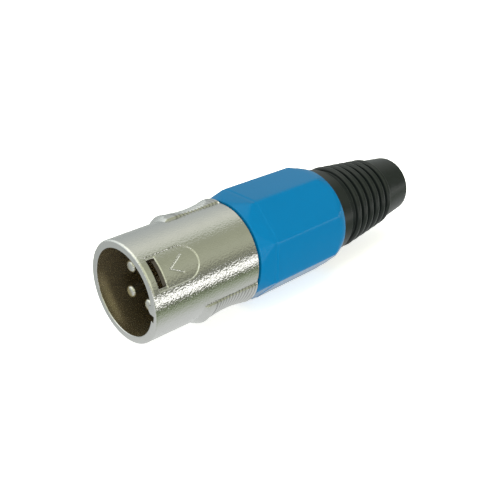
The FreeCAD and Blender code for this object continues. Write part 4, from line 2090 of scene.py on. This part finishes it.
@dataclass
class Studio:
    """Pale floor and backdrop, soft light, and the camera at the photograph's place.

    The sky's bands are placed in degrees over the front horizon and the floor's in millimetres
    along Y. The gains are placed by how far a direction points along the plug's axis.
    """

    floor_z: float = -10.3
    floor_reach: float = 3000.0
    floor_base: float = 0.9
    floor_glow: float = 0.62
    aim: tuple[float, float, float] = (30.0, 0.0, 0.0)
    lamps: tuple[Lamp, ...] = (
        Lamp("front", (-120, -480, 10), (400, 160), 3.6),
        Lamp("top", (40, 40, 500), (400, 400), 1.7),
    )
    camera: tuple[float, float, float] = (-64.1, -101.4, 69.4)
    forward: tuple[float, float, float] = (0.6026, 0.6520, -0.4602)
    up: tuple[float, float, float] = (0.3124, 0.3379, 0.8878)
    lens: float = 57.6
    sensor: float = 36.0
    clip: tuple[float, float] = (0.001, 10.0)
    sky: tuple[Band, ...] = (
        Band(0.0, (0.30, 0.31, 0.26)),
        Band(9.0, (0.24, 0.25, 0.19)),
        Band(20.0, (0.44, 0.45, 0.33)),
        Band(34.0, (0.54, 0.56, 0.42)),
        Band(46.0, (0.50, 0.52, 0.38)),
        Band(68.0, (0.44, 0.46, 0.33)),
        Band(81.0, (0.46, 0.48, 0.37)),
        Band(93.0, (0.72, 0.75, 0.64)),
        Band(106.0, (0.86, 0.87, 0.76)),
        Band(117.0, (0.80, 0.82, 0.73)),
        Band(141.0, (0.62, 0.65, 0.61)),
        Band(158.0, (0.57, 0.60, 0.58)),
        Band(180.0, (0.44, 0.48, 0.465)),
    )
    floor_bands: tuple[Band, ...] = (
        Band(-300.0, (0.20, 0.21, 0.18)),
        Band(-150.0, (0.22, 0.23, 0.19)),
        Band(-100.0, (2.1, 2.1, 2.0)),
        Band(-44.0, (2.1, 2.1, 2.0)),
        Band(-37.5, (0.15, 0.16, 0.12)),
        Band(-29.0, (0.14, 0.15, 0.11)),
        Band(-23.0, (0.28, 0.34, 0.20)),
        Band(-17.0, (0.50, 0.54, 0.44)),
        Band(-10.0, (0.76, 0.78, 0.76)),
        Band(0.0, (0.73, 0.75, 0.73)),
        Band(8.0, (0.56, 0.59, 0.57)),
        Band(30.0, (0.54, 0.57, 0.55)),
    )
    gains: tuple[Band, ...] = (
        Band(-1.0, (1.4, 1.4, 1.4)),
        Band(-0.6, (2.0, 2.0, 1.95)),
        Band(-0.1, (2.0, 2.0, 1.95)),
        Band(0.35, (1.0, 1.0, 1.0)),
        Band(0.8, (1.0, 1.0, 1.0)),
        Band(0.9, (0.4, 0.4, 0.38)),
        Band(1.0, (0.4, 0.4, 0.38)),
    )

    def place_camera(self) -> None:
        """Set the camera where the photograph was taken from."""
        data = bpy.data.cameras.new("camera")
        data.lens, data.sensor_width = self.lens, self.sensor
        data.clip_start, data.clip_end = self.clip
        forward, up = Vector(self.forward).normalized(), Vector(self.up)
        right = forward.cross(up).normalized()
        up = right.cross(forward)
        turn = Matrix((right, up, -forward)).transposed().to_4x4()
        camera = bpy.data.objects.new("camera", data)
        camera.matrix_world = Matrix.Translation(Vector(self.camera) * MM) @ turn
        bpy.context.scene.collection.objects.link(camera)
        bpy.context.scene.camera = camera

    @staticmethod
    def banded(graph: Graph, factor: Value, bands: Sequence[Band]) -> Value:
        """Colour that runs through a row of bands.

        Args:
            graph: The graph to add to.
            factor: Value that is looked up, on the scale of the bands' places.
            bands: The bands, in rising order.

        Returns:
            The colour.
        """
        low, high = bands[0].place, bands[-1].place
        ramp = graph.tree.nodes.new("ShaderNodeValToRGB")
        graph.feed(ramp.inputs["Fac"], (factor - low) / (high - low))
        stops = ramp.color_ramp.elements
        while len(stops) < len(bands):
            stops.new(0.5)
        for stop, band in zip(stops, bands):
            stop.position = (band.place - low) / (high - low)
            stop.color = colour(*band.colour)
        return Value(graph, ramp.outputs["Color"])

    def lay_floor(self) -> None:
        """Lay a white floor that keeps the plug's shadow and shows bands in its plating."""
        mesh = bpy.data.meshes.new("floor")
        reach, z = self.floor_reach, self.floor_z
        corners = [(-reach, -reach, z), (reach, -reach, z), (reach, reach, z), (-reach, reach, z)]
        mesh.from_pydata([Vector(corner) * MM for corner in corners], [], [(0, 1, 2, 3)])
        floor = new_piece("floor", mesh)
        material = bpy.data.materials.new("floor_white")
        material.use_nodes = True
        graph = Graph(material.node_tree)
        shader = material.node_tree.nodes["Principled BSDF"]
        seen = graph.node("ShaderNodeLightPath", output="Is Camera Ray")
        mirrored = graph.node("ShaderNodeLightPath", output="Is Glossy Ray")
        place = graph.node("ShaderNodeTexCoord", output="Object")
        parts = graph.node("ShaderNodeSeparateXYZ", inputs={"Vector": place}, output="Y")
        bands = self.banded(graph, parts / MM, self.floor_bands)
        black = colour(0, 0, 0)
        white = colour(*[self.floor_base] * 3)
        glow = colour(*[self.floor_glow] * 3)
        graph.feed(shader.inputs["Base Color"], graph.mix(mirrored, white, black))
        shader.inputs["Roughness"].default_value = 1.0
        shader.inputs["Specular IOR Level"].default_value = 0.0
        lift = graph.mix(seen, black, glow)
        graph.feed(shader.inputs["Emission Color"], graph.mix(mirrored, lift, bands))
        shader.inputs["Emission Strength"].default_value = 1.0
        mesh.materials.append(material)

    def light(self, lamp: Lamp) -> None:
        """Set up a lamp that points at the middle of the plug.

        Args:
            lamp: The lamp.
        """
        data = bpy.data.lights.new(lamp.name, "AREA")
        data.shape = "RECTANGLE"
        data.size, data.size_y = (part * MM for part in lamp.size)
        data.energy = lamp.power
        made = bpy.data.objects.new(lamp.name, data)
        way = Vector(self.aim) - Vector(lamp.place)
        turn = way.to_track_quat("-Z", "Y").to_matrix().to_4x4()
        made.matrix_world = Matrix.Translation(Vector(lamp.place) * MM) @ turn
        made.visible_glossy = False
        made.visible_camera = False
        bpy.context.scene.collection.objects.link(made)

    def fill_sky(self) -> None:
        """Soft banded light from all round, which the camera sees as white."""
        world = bpy.data.worlds.new("studio")
        bpy.context.scene.world = world
        world.use_nodes = True
        graph = Graph(world.node_tree)
        background = world.node_tree.nodes["Background"]
        way = graph.node("ShaderNodeTexCoord", output="Generated")
        parts = graph.tree.nodes.new("ShaderNodeSeparateXYZ")
        graph.feed(parts.inputs[0], way)
        up, back = Value(graph, parts.outputs["Z"]), Value(graph, parts.outputs["Y"])
        gain = self.banded(graph, Value(graph, parts.outputs["X"]), self.gains)
        angle = graph.maths(Maths.ARCTAN2, up, -back) * (HALF_TURN / math.pi)
        bands = self.banded(graph, angle, self.sky)
        seen = graph.node("ShaderNodeLightPath", output="Is Camera Ray")
        white = colour(1, 1, 1)
        graph.feed(background.inputs["Color"], graph.mix(seen, bands, white))
        graph.feed(background.inputs["Strength"], graph.mix(seen, gain, white))

    def build(self) -> None:
        """Set up the whole studio."""
        self.place_camera()
        self.lay_floor()
        for lamp in self.lamps:
            self.light(lamp)
        self.fill_sky()
        bpy.context.scene.view_settings.view_transform = "Standard"


def dress_node(name: str, finish: Finish) -> None:
    """Give a carried-over solid a better material.

    Args:
        name: Name of the node.
        finish: Its finish.
    """
    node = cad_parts[name]
    material = finish.build()
    for slot in node.material_slots:
        slot.material = material
    LOG.info("dressed %s", name)


def main() -> None:
    """Build every piece, ride it on its body and set up the studio."""
    logging.basicConfig(level=logging.INFO)
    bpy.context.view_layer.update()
    pieces = [
        (Shell().build(), Body.PLUG, ("shell",), "shell_nickel"),
        (Collar().build(), Body.COLLAR, ("collar",), "collar_blue"),
        (Boot().build(), Body.COLLAR, ("boot",), "boot_rubber"),
    ]
    lathe = LatheTree(SILVER.build())
    for number, bearing in enumerate(PIN_BEARINGS, start=1):
        pin = ContactPin().build(number, bearing, lathe)
        pieces.append((pin, Body.PLUG, (f"pin_{number}",), "pin_silver"))
    for piece, body, nodes, slot_name in pieces:
        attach(piece, body.value)
        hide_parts(*nodes)
        triangles = sum(len(face.vertices) - 2 for face in piece.data.polygons)
        LOG.info("%s: %d triangles", piece.name, triangles)
    dress_node("insert", INSERT_MOULDING)
    dress_node("chuck", CHUCK_MOULDING)
    dress_node("shell_contact", TIN)
    Studio().build()
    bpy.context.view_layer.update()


if __name__ == "__main__":
    main()
